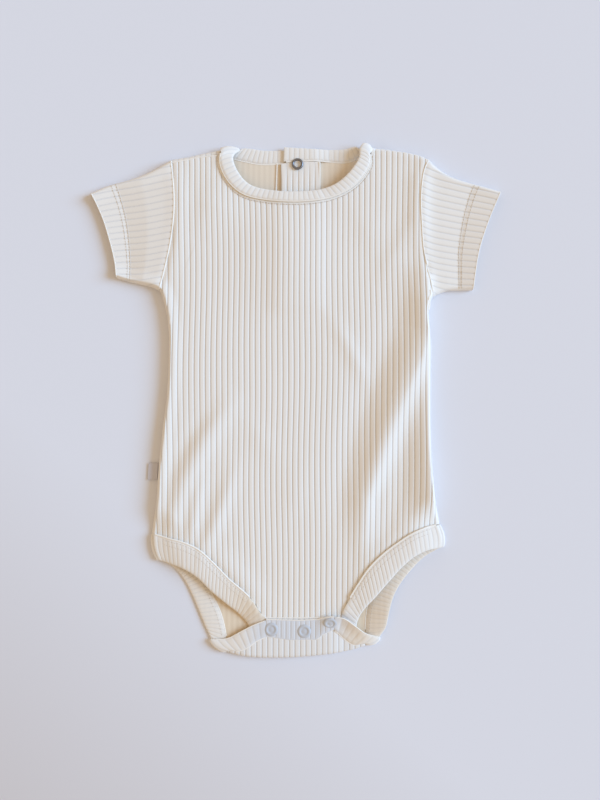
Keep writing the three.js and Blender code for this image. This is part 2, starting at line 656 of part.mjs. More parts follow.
function addNode(name, geometry, material = cream) {
  const flat = geometry.index ? geometry.toNonIndexed() : geometry;
  flat.computeVertexNormals();
  const mesh = new THREE.Mesh(flat, material);
  mesh.name = name;
  group.add(mesh);
  return mesh;
}

const evenly = (count) => Array.from({ length: count + 1 }, (_, i) => i / count);

// Front panel.
// Its two sides: the side seam below the armhole, the armhole above it.
function sideX(sideLine, armholeLine, y) {
  const underarm = armholeLine[0].y;
  return y < underarm ? lookUp(sideLine, "y", "x", y) : lookUp(armholeLine, "y", "x", y);
}

// A place on the front panel: u across from the left side, y along the garment, inset from both sides.
// The inset dies out from the underarm up into the armhole, where the cloth isn't rolled.
const LEFT_INSET_ENDS = [84, 98];
const RIGHT_INSET_ENDS = [79, 93];
function frontX(u, y, inset) {
  const left = sideX(SIDE_LEFT_LINE, ARMHOLE_LEFT_LINE, y) + inset * (1 - ease(y, ...LEFT_INSET_ENDS));
  const right = sideX(SIDE_RIGHT_LINE, ARMHOLE_RIGHT_LINE, y) - inset * (1 - ease(y, ...RIGHT_INSET_ENDS));
  return mix(left, right, u);
}

// The end of a column: where it meets the edge line, found in a few rounds from a first guess of its y.
const LOW_GUESS = -110;
const HIGH_GUESS = 190;
const MEET_ROUNDS = 8;
function meet(u, inset, edgeLine, guess) {
  let y = guess;
  for (let round = 0; round < MEET_ROUNDS; round += 1) y = edgeLine(frontX(u, y, inset));
  return y;
}

// The panel runs a little way under the leg bands, but meets them edge to edge at the side corners.
const UNDER_BAND = 1.2;
const CORNER_PART = [9, 15]; // how far from the corner the panel starts to run under the band, and does in full
const FRONT_END = -178; // the front's end at the crotch
function frontBottom(x) {
  const seam = x < 0 ? LEG_FRONT_LEFT : LEG_FRONT_RIGHT;
  const fromCorner = Math.abs(x - seam[0].x);
  const under = mix(-BUTT, UNDER_BAND, ease(fromCorner, ...CORNER_PART));
  return Math.max(lookUp(seam, "x", "y", x), FRONT_END) - under;
}

const frontTop = (x) => lookUp(FRONT_TOP, "x", "y", x);

const ROLL_COLUMNS = [0, 0.0025, 0.008, 0.0155];
const ribColumns = Array.from({ length: 2 * RIBS_ACROSS - 3 }, (_, i) => (i + 2) / (2 * RIBS_ACROSS));
const frontU = [...ROLL_COLUMNS, ...ribColumns, ...ROLL_COLUMNS.map((u) => 1 - u).reverse()];
const frontV = [0, 0.014, ...evenly(17).slice(1, -1), 0.985, 1];

function frontOuter(u, v, i) {
  const bottom = meet(u, 0, frontBottom, LOW_GUESS);
  const top = meet(u, 0, frontTop, HIGH_GUESS);
  const y = mix(bottom, top, v);
  const x = frontX(u, y, 0);
  const crest = i >= ROLL_COLUMNS.length && i < frontU.length - ROLL_COLUMNS.length && i % 2 === 1;
  const rib = crest && v > 0 && v < 1 ? RIB_RISE : 0;
  return [x, y, outerHeight(x, y) + rib];
}

const RIGHT_SHOULDER_STARTS = [63, 67]; // between these two x the inner face draws back from the shoulder fold
function frontInner(u, v) {
  const bottom = meet(u, CLOTH, frontBottom, LOW_GUESS);
  const top = meet(u, CLOTH, frontTop, HIGH_GUESS);
  const onShoulder = ease(frontX(u, top, CLOTH), ...RIGHT_SHOULDER_STARTS);
  const y = mix(bottom, top - CLOTH * onShoulder, v);
  const x = frontX(u, y, CLOTH);
  return [x, y, innerHeight(x, y)];
}

const frontInnerU = [0, 0.008, 0.02, 0.04, ...evenly(28).slice(2, -2), 0.96, 0.98, 0.992, 1];
const frontInnerV = [0, ...evenly(12).slice(1, -1), 0.975, 1];
addNode(
  "front_panel",
  geometryOf(
    sheet({
      outer: frontOuter,
      inner: frontInner,
      outerU: frontU,
      outerV: frontV,
      innerU: frontInnerU,
      innerV: frontInnerV,
    }),
  ),
);

// Back panel: flat on the surface, with the opening cut in, the left shoulder's strip and the crotch flap.
const shifted = (rows, dx, dy) => rows.map((row) => [row.x + dx, row.y + dy]);
const BOTTOM_FOLD_LINE = dense(BOTTOM_FOLD, 60);
const foldY = (x) => lookUp(BOTTOM_FOLD_LINE, "x", "y", x);
const FLAP_LEFT = -55.8;
const FLAP_RIGHT = 56;
const FOLD_RADIUS = FLAP_TOP / 2;
// the slab stops where the flap's fold begins
const foldStart = evenly(24).map((part) => {
  const x = mix(FLAP_RIGHT, FLAP_LEFT, part);
  return [x, foldY(x) + FOLD_RADIUS + 0.5];
});
const NECK_BUTT = 0.7; // clear space between the back panel and the neckband
const SLIT_WIDTH = 0.8;
const neckEdge = shifted(dense(BACK_NECK, 50), 0, -NECK_BUTT).slice(1, -1);
const slit = [
  [SLIT_X - SLIT_WIDTH, lookUp(BACK_NECK, "x", "y", SLIT_X) - NECK_BUTT],
  [SLIT_X - SLIT_WIDTH, SLIT_LOW],
  [SLIT_X, SLIT_LOW],
  [SLIT_X, lookUp(BACK_NECK, "x", "y", SLIT_X) - NECK_BUTT],
];
const outline = [
  [SIDE_LEFT[0].x + 0.1, SIDE_LEFT[0].y + BUTT],
  ...shifted(SIDE_LEFT_LINE, 0, 0).slice(1),
  ...shifted(ARMHOLE_LEFT_LINE, 0, 0).slice(1),
  ...shifted(SHOULDER_LEFT, 0, 0).slice(1),
  ...neckEdge.filter(([x]) => x < SLIT_X - SLIT_WIDTH - 1),
  ...slit,
  ...neckEdge.filter(([x]) => x > SLIT_X + 1),
  ...shifted(SHOULDER_RIGHT, 0, 0),
  ...shifted(ARMHOLE_RIGHT_LINE, 0, 0).reverse().slice(1),
  ...shifted(SIDE_RIGHT_LINE, 0, 0).reverse().slice(1, -1),
  [SIDE_RIGHT[0].x - 0.1, SIDE_RIGHT[0].y + BUTT],
  ...shifted(dense(LEG_BACK_RIGHT, 40), -0.35, 0.3).slice(1, -2),
  ...foldStart,
  ...shifted(dense(LEG_BACK_LEFT, 40), 0.35, 0.3).reverse().slice(2, -1),
];
const backShape = shapeOf(thinned(outline, 0.06));
const backSlab = new THREE.ExtrudeGeometry(backShape, { depth: CLOTH, bevelEnabled: false });

// The flap: from the slab round the bottom fold and up over the front, as a grid over x and over the way along.
function flapTop(x) {
  if (x > PLACKET_LOW[0].x - 3 && x < PLACKET_LOW[PLACKET_LOW.length - 1].x + 3) {
    return lookUp(PLACKET_LOW, "x", "y", x) - BUTT - 0.2;
  }
  const rows = x < 0 ? LEG_LEFT_FLAP : LEG_RIGHT_FLAP;
  const seam = lookUp(rows, "seamX", "seamY", x) + 1;
  return Math.max(seam, foldY(x) + 2 * FOLD_RADIUS);
}

const FLAP_FLAT_STEPS = 3;
const FOLD_STEPS = 6;
const flapSteps = Array.from({ length: FOLD_STEPS + FLAP_FLAT_STEPS + 2 }, (_, step) => step);
const FLAP_FOOT = 2; // the flap's first row stands this far inside the slab
const FOOT_INSET = 0.3; // and this far from the slab's two faces
// depth is 0 on the outer face and CLOTH on the inner one
function flapPlace(x, step, depth, raised) {
  const centreY = foldY(x) + FOLD_RADIUS;
  if (step === 0) return [x, centreY + FLAP_FOOT, mix(FOOT_INSET, CLOTH - FOOT_INSET, depth / CLOTH)];
  if (step <= FOLD_STEPS + 1) {
    const angle = (Math.PI * (step - 1)) / FOLD_STEPS;
    const radius = FOLD_RADIUS - depth;
    return [x, centreY - radius * Math.sin(angle), FOLD_RADIUS - radius * Math.cos(angle)];
  }
  const part = (step - FOLD_STEPS - 1) / FLAP_FLAT_STEPS;
  const y = mix(centreY, flapTop(x), part);
  const rib = raised && part < 1 ? BAND_RIB_RISE : 0;
  return [x, y, FLAP_TOP - depth + rib];
}
const FLAP_RIBS = 25;
const flapU = evenly(2 * FLAP_RIBS);
const flapInnerU = evenly(FLAP_RIBS);
// the flap's ribs stand up only where no leg band lies on them
const isBare = (x) => x > -22 && x < 30;
const flap = geometryOf(
  sheet({
    outer: (u, step, i) => {
      const x = mix(FLAP_LEFT, FLAP_RIGHT, u);
      return flapPlace(x, step, 0, i % 2 === 1 && isBare(x));
    },
    inner: (u, step) => flapPlace(mix(FLAP_LEFT, FLAP_RIGHT, u), step, CLOTH, false),
    outerU: flapU,
    outerV: flapSteps,
    innerU: flapInnerU,
    innerV: flapSteps,
  }),
);

// The left shoulder: the back panel's cloth comes round the fold and is sewn to the front's top edge.
const STRIP_STEPS = 12;
const SET_IN = 0.15; // the strip's foot stands this far in from the slab's edge
const STRIP_FOOT = 0.4; // height of its foot, inside the slab
const SECTION_STEPS = 5;
const STRIP_ENDS = [-100.9, -63.6]; // x of its two ends, just inside the armhole and the neckband
function shoulderSection(part) {
  const x = mix(...STRIP_ENDS, part);
  const foldLine = lookUp(SHOULDER_LEFT, "x", "y", x) - SET_IN;
  const seamLine = lookUp(FRONT_TOP, "x", "y", x) + BUTT;
  const width = foldLine - seamLine;
  const outside = [];
  const inside = [];
  for (let step = 0; step <= SECTION_STEPS; step += 1) {
    const into = width * (step / SECTION_STEPS) ** 1.6;
    const top = ON_BACK + (LOFT - ON_BACK) * quarter(into / ROLL);
    outside.push([x, foldLine - into, top]);
  }
  for (let step = SECTION_STEPS; step >= 0; step -= 1) {
    const into = CLOTH + (width - CLOTH) * (step / SECTION_STEPS) ** 1.6;
    const top = ON_BACK + (LOFT - CLOTH - ON_BACK) * quarter((into - CLOTH) / (ROLL - CLOTH));
    inside.push([x, foldLine - into, top]);
  }
  return [[x, foldLine, STRIP_FOOT], ...outside, ...inside, [x, foldLine - CLOTH, STRIP_FOOT]];
}
const shoulderStrip = geometryOf(strip(evenly(STRIP_STEPS).map(shoulderSection)));
addNode("back_panel", joined([backSlab, flap, shoulderStrip]));

// Sleeves.
const ARMHOLE_GAP = 0.8; // wider than elsewhere, because the front's edge cuts the curve's corners
function sleeve({ armhole, top, low, cuff, outward }) {
  const lines = {
    armhole: curveOf(armhole),
    cuff: curveOf(cuff),
    low: curveOf(low),
    top: curveOf(top),
  };
  const at = (line, part) => lines[line].getPointAt(clamp(part, 0, 1));
  // the place between the four edges: along s from the armhole, across q from the lower edge
  function place(s, q) {
    const a = at("armhole", q);
    const c = at("cuff", q);
    const b = at("low", s);
    const t = at("top", s);
    const corners = ["x", "y"].map(
      (key) =>
        (1 - s) * (1 - q) * at("armhole", 0)[key] +
        (1 - s) * q * at("armhole", 1)[key] +
        s * (1 - q) * at("cuff", 0)[key] +
        s * q * at("cuff", 1)[key],
    );
    return [
      (1 - s) * a.x + s * c.x + (1 - q) * b.x + q * t.x - corners[0] + outward * ARMHOLE_GAP * (1 - s),
      (1 - s) * a.y + s * c.y + (1 - q) * b.y + q * t.y - corners[1],
    ];
  }
  // round the ring, 0 to 1 is the upper side from the lower edge, and 1 to 2 the way back underneath
  const ROLL_PARTS = [0, 0.005, 0.017, 0.034];
  const topRibs = Array.from({ length: 2 * SLEEVE_RIBS - 3 }, (_, i) => (i + 2) / (2 * SLEEVE_RIBS));
  const upper = [...ROLL_PARTS, ...topRibs, ...ROLL_PARTS.map((q) => 1 - q).reverse()];
  const floorParts = [0.994, 0.98, 0.7, 0.4, 0.02, 0.006];
  const outerRing = [...upper, ...floorParts.map((q) => 2 - q)];
  const innerUpper = [0, 0.01, 0.03, ...evenly(12).slice(1, -1), 0.97, 0.99, 1];
  const innerRing = [...innerUpper, 1.001, 1.5, 1.999];
  const length = 0.5 * (lines.low.getLength() + lines.top.getLength());
  const hemStart = 1 - HEM_DEPTH / length;
  const middle = evenly(5).slice(1, -1).map((s) => s * hemStart + 0.02);
  const stations = [0, 0.06, ...middle, hemStart, hemStart + 0.03, 1];
  const hem = (s) => (s > hemStart + 0.001 ? HEM_RISE : 0);
  const under = (edge) => ON_BACK * (1 - quarter(edge / ON_BACK));
  return tube({
    outer: (s, a, i) => {
      const q = a <= 1 ? a : 2 - a;
      const [x, y] = place(s, q);
      if (a > 1) return [x, y, under(edgeDistance(x, y))];
      const crest = i > ROLL_PARTS.length && i < upper.length - ROLL_PARTS.length && i % 2 === 0;
      const flatPart = ease(edgeDistance(x, y), 0, 3);
      return [x, y, outerHeight(x, y) + (hem(s) + (crest ? RIB_RISE : 0)) * flatPart];
    },
    inner: (s, a) => {
      const width = Math.hypot(...place(s, 1).map((value, k) => value - place(s, 0)[k]));
      const share = CLOTH / width;
      const q = share + (1 - 2 * share) * (a <= 1 ? a : clamp(2 - a, 0, 1));
      const [x, y] = place(s, q);
      return [x, y, a > 1 ? CLOTH : Math.max(innerHeight(x, y), CLOTH + 0.25)];
    },
    outerRing,
    innerRing,
    stations,
  });
}
addNode(
  "sleeve_left",
  geometryOf(
    sleeve({
      armhole: ARMHOLE_LEFT,
      top: SLEEVE_TOP_LEFT,
      low: SLEEVE_LOW_LEFT,
      cuff: CUFF_LEFT,
      outward: -1,
    }),
  ),
);
addNode(
  "sleeve_right",
  geometryOf(
    sleeve({
      armhole: ARMHOLE_RIGHT,
      top: SLEEVE_TOP_RIGHT,
      low: SLEEVE_LOW_RIGHT,
      cuff: CUFF_RIGHT,
      outward: 1,
    }),
  ),
);

// How far a band's underside clears the panel that runs under it.
const NECK_CLEAR = SEAM + 0.35;
const LEG_CLEAR = SEAM + 0.5;
const LAST_ON_FRONT = -179.4; // below this y a leg band has left the front
const BAND_CORNER = 7; // this near to the side corner a leg band keeps its table's height
// Bands: a run of stations, each with a seam edge, a free edge and the way that the band's outer face looks.
// outerFace is 1 where the outer face is up and -1 where it is down, because the band has come round a fold.
function flatRun(rows, outerFace, heights) {
  const seamCurve = new THREE.CatmullRomCurve3(
    rows.map((row) => new THREE.Vector3(row.seamX, row.seamY, 0)),
    false,
    "centripetal",
  );
  const freeCurve = new THREE.CatmullRomCurve3(
    rows.map((row) => new THREE.Vector3(row.freeX, row.freeY, 0)),
    false,
    "centripetal",
  );
  const count = Math.round(seamCurve.getLength() / (BAND_RIB_PITCH / 2));
  return evenly(count).map((part) => {
    const seam = seamCurve.getPoint(part);
    const free = freeCurve.getPoint(part);
    const [seamZ, freeZ] = heights(seam, free, part * (rows.length - 1));
    return {
      seam: new THREE.Vector3(seam.x, seam.y, seamZ + BAND / 2),
      free: new THREE.Vector3(free.x, free.y, freeZ + BAND / 2),
      face: new THREE.Vector3(0, 0, outerFace),
    };
  });
}

// Heights from a table's two columns, but where the band lies on the front at least as high as the front is.
function tableHeights(rows, onFront) {
  return (seam, free, index) => {
    const low = Math.min(Math.floor(index), rows.length - 2);
    const part = index - low;
    const seamZ = mix(rows[low].seamZ, rows[low + 1].seamZ, part);
    const freeZ = mix(rows[low].freeZ, rows[low + 1].freeZ, part);
    const atCorner = Math.abs(seam.x - rows[0].seamX) < BAND_CORNER;
    if (!onFront || atCorner || seam.y < LAST_ON_FRONT) return [seamZ, freeZ];
    return [Math.max(seamZ, outerHeight(seam.x, seam.y) + LEG_CLEAR), freeZ];
  };
}

// The half turn between the last station of one run and the first of the next, round the line that both share.
const TURN_STEPS = 4;
function turn(from, to, outward) {
  const stations = [];
  for (let step = 1; step < TURN_STEPS; step += 1) {
    const angle = (Math.PI * step) / TURN_STEPS;
    const lift = (a, b) => {
      const centre = new THREE.Vector3().addVectors(a, b).multiplyScalar(0.5);
      const radius = Math.abs(a.z - b.z) / 2;
      const up = a.z > b.z ? 1 : -1;
      return centre
        .addScaledVector(new THREE.Vector3(0, 0, up), radius * Math.cos(angle))
        .addScaledVector(outward, radius * Math.sin(angle));
    };
    const upSign = from.seam.z > to.seam.z ? 1 : -1;
    stations.push({
      seam: lift(from.seam, to.seam),
      free: lift(from.free, to.free),
      face: new THREE.Vector3(0, 0, from.face.z * Math.cos(angle))
        .addScaledVector(outward, from.face.z * upSign * Math.sin(angle)),
    });
  }
  return stations;
}

// The band's sections: its outer side along `face`, its inner side against it, ribs on whichever side is up.
function bandBody(stations) {
  const sections = stations.map((station, index) => {
    const ends = index === 0 || index === stations.length - 1;
    const crest = index % 2 === 1 && !ends ? BAND_RIB_RISE : 0;
    const outerRise = station.face.z > 0.9 ? crest : 0;
    const innerRise = station.face.z < -0.9 ? crest : 0;
    const at = (point, outwards) => point.clone().addScaledVector(station.face, outwards).toArray();
    const half = BAND / 2;
    return [
      at(station.seam, -half - innerRise),
      at(station.free, -half - innerRise),
      at(station.free, half + outerRise),
      at(station.seam, half + outerRise),
    ];
  });
  return strip(sections);
}

// The neckband's front run lies over its own run along the back, and its free edge dips a little.
const NECK_LOWEST = BAND + BAND_RIB_RISE + SEAM + 0.1;
const NECK_DIP = 1;
const neckFrontHeights = (seam) => {
  const seamZ = Math.max(outerHeight(seam.x, seam.y) + NECK_CLEAR, NECK_LOWEST);
  return [seamZ, Math.max(seamZ - NECK_DIP, NECK_LOWEST)];
};
const lowHeights = (rows) => (seam, free, index) => {
  const low = Math.min(Math.floor(index), rows.length - 2);
  const z = mix(rows[low].low, rows[low + 1].low, index - low);
  return [z, z];
};
const neckRuns = {
  left: flatRun(NECK_BACK_LEFT, -1, lowHeights(NECK_BACK_LEFT)),
  front: flatRun(NECK_FRONT, 1, neckFrontHeights),
  right: flatRun(NECK_BACK_RIGHT, -1, lowHeights(NECK_BACK_RIGHT)),
};
const last = (list) => list[list.length - 1];
// the way out from a fold line, square to it and level
function awayFrom(station, sign) {
  const along = new THREE.Vector3().subVectors(station.free, station.seam).setZ(0).normalize();
  return new THREE.Vector3(-along.y * sign, along.x * sign, 0);
}
const neckStations = [
  ...neckRuns.left,
  ...turn(last(neckRuns.left), neckRuns.front[0], awayFrom(neckRuns.front[0], 1)),
  ...neckRuns.front,
  ...turn(last(neckRuns.front), neckRuns.right[0], awayFrom(neckRuns.right[0], -1)),
  ...neckRuns.right,
];
addNode("neckband", geometryOf(bandBody(neckStations)));

function legBand(frontRows, backRows, flapRows, sign) {
  const front = flatRun(frontRows, 1, tableHeights(frontRows, true)).reverse();
  const back = flatRun(backRows, -1, tableHeights(backRows, false));
  const flapRun = flatRun(flapRows, 1, tableHeights(flapRows, false));
  return geometryOf(
    bandBody([
      ...front,
      ...turn(last(front), back[0], awayFrom(back[0], sign)),
      ...back,
      ...turn(last(back), flapRun[0], awayFrom(flapRun[0], -sign)),
      ...flapRun,
    ]),
  );
}
addNode("leg_band_left", legBand(LEG_LEFT_FRONT, LEG_LEFT_BACK, LEG_LEFT_FLAP, -1));
addNode("leg_band_right", legBand(LEG_RIGHT_FRONT, LEG_RIGHT_BACK, LEG_RIGHT_FLAP, 1));

// Flat strips with ribs that run along Y.
function ribbedStrip({ left, right, lowLine, highLine, bottom, thick, pitch, rise }) {
  const count = 2 * Math.max(1, Math.round((right - left) / pitch));
  const place = (u, v, z) => {
    const x = mix(left, right, u);
    return [x, mix(lowLine(x), highLine(x), v), bottom(x) + z];
  };
  return sheet({
    outer: (u, v, i) => place(u, v, thick + (i % 2 === 1 ? rise : 0)),
    inner: (u, v) => place(u, v, 0),
    outerU: evenly(count),
    outerV: evenly(2),
    innerU: evenly(count / 2),
    innerV: evenly(2),
  });
}
const STRIP_THICK = 1.2;
const STRIP_TOP = (x) => lookUp(BACK_NECK, "x", "y", x) - NECK_BUTT - BUTT;
addNode(
  "back_placket_left",
  geometryOf(
    ribbedStrip({
      left: SLIT_X + 0.6,
      right: SLIT_X + STRIP_WIDTH - 1,
      lowLine: () => SLIT_LOW + 1,
      highLine: (x) => STRIP_TOP(x) - 3,
      bottom: () => ON_BACK,
      thick: STRIP_THICK,
      pitch: STRIP_WIDTH,
      rise: 0,
    }),
  ),
);
addNode(
  "back_placket_right",
  geometryOf(
    ribbedStrip({
      left: SLIT_X,
      right: SLIT_X + STRIP_WIDTH,
      lowLine: () => SLIT_LOW,
      highLine: STRIP_TOP,
      bottom: () => ON_BACK + STRIP_THICK + SEAM,
      thick: STRIP_THICK,
      pitch: STRIP_WIDTH / STRIP_RIBS,
      rise: BAND_RIB_RISE,
    }),
  ),
);
const FRONT_PLACKET = { left: -20, right: 33, low: -194, high: -179.8 };
addNode(
  "crotch_placket_front",
  geometryOf(
    ribbedStrip({
      left: FRONT_PLACKET.left,
      right: FRONT_PLACKET.right,
      lowLine: () => FRONT_PLACKET.low,
      highLine: () => FRONT_PLACKET.high,
      bottom: () => ON_BACK,
      thick: STRIP_THICK,
      pitch: FRONT_PLACKET.right - FRONT_PLACKET.left,
      rise: 0,
    }),
  ),
);
const PLACKET_LIFT = 0.2; // the strip lies a little above the flap's underside
const ROLLED_LIFT = 1.6; // its right third rolls up
const ROLL_STARTS = [15, 24]; // between these two x
const placketBottom = (x) => FLAP_BOTTOM + PLACKET_LIFT + ROLLED_LIFT * ease(x, ...ROLL_STARTS);
addNode(
  "crotch_placket_back",
  geometryOf(
    ribbedStrip({
      left: PLACKET_LOW[0].x,
      right: PLACKET_LOW[PLACKET_LOW.length - 1].x,
      lowLine: (x) => lookUp(PLACKET_LOW, "x", "y", x),
      highLine: (x) => lookUp(PLACKET_HIGH, "x", "y", x),
      bottom: placketBottom,
      thick: BAND,
      pitch: BAND_RIB_PITCH,
      rise: BAND_RIB_RISE,
    }),
  ),
);

// Snap rings.
const RING_PROFILE = [
  { r: SNAP_IN, z: 0 },
  { r: SNAP_OUT - 0.3, z: 0 },
  { r: SNAP_OUT, z: 0.4 },
  { r: SNAP_OUT - 0.4, z: SNAP_HEIGHT - 0.2 },
  { r: 0.5 * (SNAP_IN + SNAP_OUT), z: SNAP_HEIGHT },
  { r: SNAP_IN, z: SNAP_HEIGHT - 0.5 },
  { r: SNAP_IN, z: 0 },
];
const RING_SIDES = 28;
const RING_BED = FLAP_BOTTOM + PLACKET_LIFT + BAND + BAND_RIB_RISE + SEAM;
const SNAPS = [
  { name: "snap_ring_neck", x: 1.4, y: 192.3, z: 4.9, material: metal },
  { name: "snap_ring_crotch_1", x: -19.9, y: -186.5, z: RING_BED, material: pale },
  { name: "snap_ring_crotch_2", x: 6.8, y: -188, z: RING_BED, material: pale },
  { name: "snap_ring_crotch_3", x: 26.5, y: -181.5, z: RING_BED + ROLLED_LIFT + 0.1, material: pale },
];
for (const snap of SNAPS) {
  const profile = RING_PROFILE.map(({ r, z }) => new THREE.Vector2(r, z));
  const node = addNode(snap.name, new THREE.LatheGeometry(profile, RING_SIDES), snap.material);
  node.rotation.x = Math.PI / 2; // the lathe turns about its own +Y, which becomes +Z
  node.position.set(snap.x, snap.y, snap.z);
}

// The folded tab in the left side seam, bare.
const TAB = { left: -121.2, right: -112.9, low: -65.2, high: -51.7, bottom: 0.4, thick: 1 };
const tabShape = shapeOf([
  [TAB.left, TAB.low],
  [TAB.right - 0.5, TAB.low],
  [TAB.right, TAB.high],
  [TAB.left + 0.8, TAB.high],
]);
const tabGeometry = new THREE.ExtrudeGeometry(tabShape, { depth: TAB.thick, bevelEnabled: false });
const tab = addNode("side_label", tabGeometry);
tab.position.z = TAB.bottom;

export default group;
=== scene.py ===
import bpy
import numpy as np
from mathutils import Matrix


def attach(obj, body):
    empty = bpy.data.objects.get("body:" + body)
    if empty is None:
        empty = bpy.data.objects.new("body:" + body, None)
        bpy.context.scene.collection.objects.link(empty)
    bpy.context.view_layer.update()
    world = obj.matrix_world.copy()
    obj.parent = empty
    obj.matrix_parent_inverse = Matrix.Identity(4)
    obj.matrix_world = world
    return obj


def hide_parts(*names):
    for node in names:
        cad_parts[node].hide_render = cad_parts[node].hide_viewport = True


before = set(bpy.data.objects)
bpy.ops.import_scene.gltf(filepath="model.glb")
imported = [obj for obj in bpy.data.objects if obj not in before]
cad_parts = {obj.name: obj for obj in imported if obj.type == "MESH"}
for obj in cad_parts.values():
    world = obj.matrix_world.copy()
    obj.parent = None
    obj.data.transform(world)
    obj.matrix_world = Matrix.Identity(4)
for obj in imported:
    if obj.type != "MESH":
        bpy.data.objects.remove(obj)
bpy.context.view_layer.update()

# %% [markdown]
# A baby's short-sleeved bodysuit of cream rib knit lies flat, front up, with its crotch fastened.
# It is seen from straight above, so the camera looks down the Z axis, with the neck at the picture's top.
# Lengths are worked out in millimetres and become metres where a mesh is made.
# The camera comes first, because every later choice is judged through it.

# %% Camera
MM = 0.001
SENSOR = 36
SEEN_HIGH = 656  # millimetres of the surface from the picture's top edge to its bottom edge
CAMERA_HIGH = 700
CAMERA_RIGHT = 3.4  # the picture's middle lies this far right of the garment's
camera = bpy.data.objects.new("camera", bpy.data.cameras.new("camera"))
camera.data.sensor_fit = "VERTICAL"
camera.data.sensor_height = SENSOR
camera.data.lens = SENSOR * CAMERA_HIGH / SEEN_HIGH
camera.location = (CAMERA_RIGHT * MM, 0, CAMERA_HIGH * MM)
bpy.context.collection.objects.link(camera)
bpy.context.scene.camera = camera
print("lens", round(camera.data.lens, 1), "mm")

# %% [markdown]
# Cloth has two faces and an edge all round, so each piece is a thin closed shell.
# The upper face is a fine grid, the lower one has the same columns but fewer rows, and a rim joins them.
# Straight ribs are cut off by a curved seam on a real garment, and the grid does the same: a column
# that would leave the panel is held back on the outline, and points that fall together are merged.

# %% Triangles of grids, rims and tubes
def halves(a, b, c, d):
    """The two triangles of every cell whose corners, in turn, are a, b, c and d."""
    return np.concatenate([np.stack([a, b, c], -1).reshape(-1, 3), np.stack([a, c, d], -1).reshape(-1, 3)])


def grid_faces(count_rows, count_columns, start=0, wrap=False):
    """Two triangles for each cell of a grid whose points are numbered row by row from start."""
    index = np.arange(count_rows * count_columns).reshape(count_rows, count_columns) + start
    if wrap:
        index = np.hstack([index, index[:, :1]])
    return halves(index[:-1, :-1], index[:-1, 1:], index[1:, 1:], index[1:, :-1])


def tube_faces(rings, around):
    """A closed tube's triangles: its wall between rings of points, and a fan over each end."""
    fan = np.stack([np.zeros(around - 2, int), np.arange(1, around - 1), np.arange(2, around)], -1)
    return np.concatenate([grid_faces(rings, around, wrap=True), fan[:, ::-1], fan + (rings - 1) * around])


def between(line_a, line_b):
    """Two triangles for each step along two rows of points; they face right of the way up from b to a."""
    first = np.stack([line_a[:-1], line_b[:-1], line_b[1:]], -1)
    return np.concatenate([first, np.stack([line_a[:-1], line_b[1:], line_a[1:]], -1)])


def fan_between(fine, coarse):
    """Triangles between a fine row and a coarse one, whose step is a whole number of the fine row's."""
    step = (len(fine) - 1) // (len(coarse) - 1)
    k = np.arange(len(fine) - 1)
    later = (k % step) >= step // 2
    foot = coarse[k // step + later]
    spokes = np.stack([fine[:-1], fine[1:], foot], -1)
    m = np.arange(len(coarse) - 1)
    bases = np.stack([fine[m * step + step // 2], coarse[m + 1], coarse[m]], -1)
    return np.concatenate([spokes, bases])


def shell(upper, lower, wrap=False):
    """A closed shell's points and triangles from its upper and its lower grid."""
    rows, columns = upper.shape[:2]
    low_rows = lower.shape[0]
    start = rows * columns
    top = np.arange(start).reshape(rows, columns)
    low = np.arange(low_rows * columns).reshape(low_rows, columns) + start
    if wrap:
        top_ring, low_ring = np.hstack([top, top[:, :1]]), np.hstack([low, low[:, :1]])
    else:
        top_ring, low_ring = top, low
    faces = [
        grid_faces(rows, columns, 0, wrap),
        grid_faces(low_rows, columns, start, wrap)[:, ::-1],
        between(top_ring[0], low_ring[0]),
        between(top_ring[-1], low_ring[-1])[:, ::-1],
    ]
    if not wrap:
        faces += [fan_between(top[:, 0], low[:, 0]), fan_between(top[:, -1], low[:, -1])[:, ::-1]]
    points = np.concatenate([upper.reshape(-1, 3), lower.reshape(-1, 3)])
    return points, np.concatenate(faces)

# %% From arrays to an object
def stacked(*parts):
    """Several pieces' points and triangles as one."""
    points, faces, start = [], [], 0
    for some_points, some_faces in parts:
        points.append(some_points)
        faces.append(some_faces + start)
        start += len(some_points)
    return np.concatenate(points), np.concatenate(faces)


def outwards(points, faces):
    """Turns every triangle round if the closed mesh has a negative volume."""
    a, b, c = (points[faces[:, k]] for k in range(3))
    return faces if (a * np.cross(b, c)).sum() > 0 else faces[:, ::-1]


def rib_and_inside(rib, upper, lower):
    """A shell's two attributes: the ribs' profile and no painted warm shade on its upper face, 1 and full
    painted warm shade on its lower face.
    """
    counts = [grid.shape[0] * grid.shape[1] for grid in (upper, lower)]
    ribs = np.concatenate([np.broadcast_to(rib, upper.shape[:2]).ravel(), np.ones(counts[1])])
    return ribs, np.repeat([0, 1], counts)


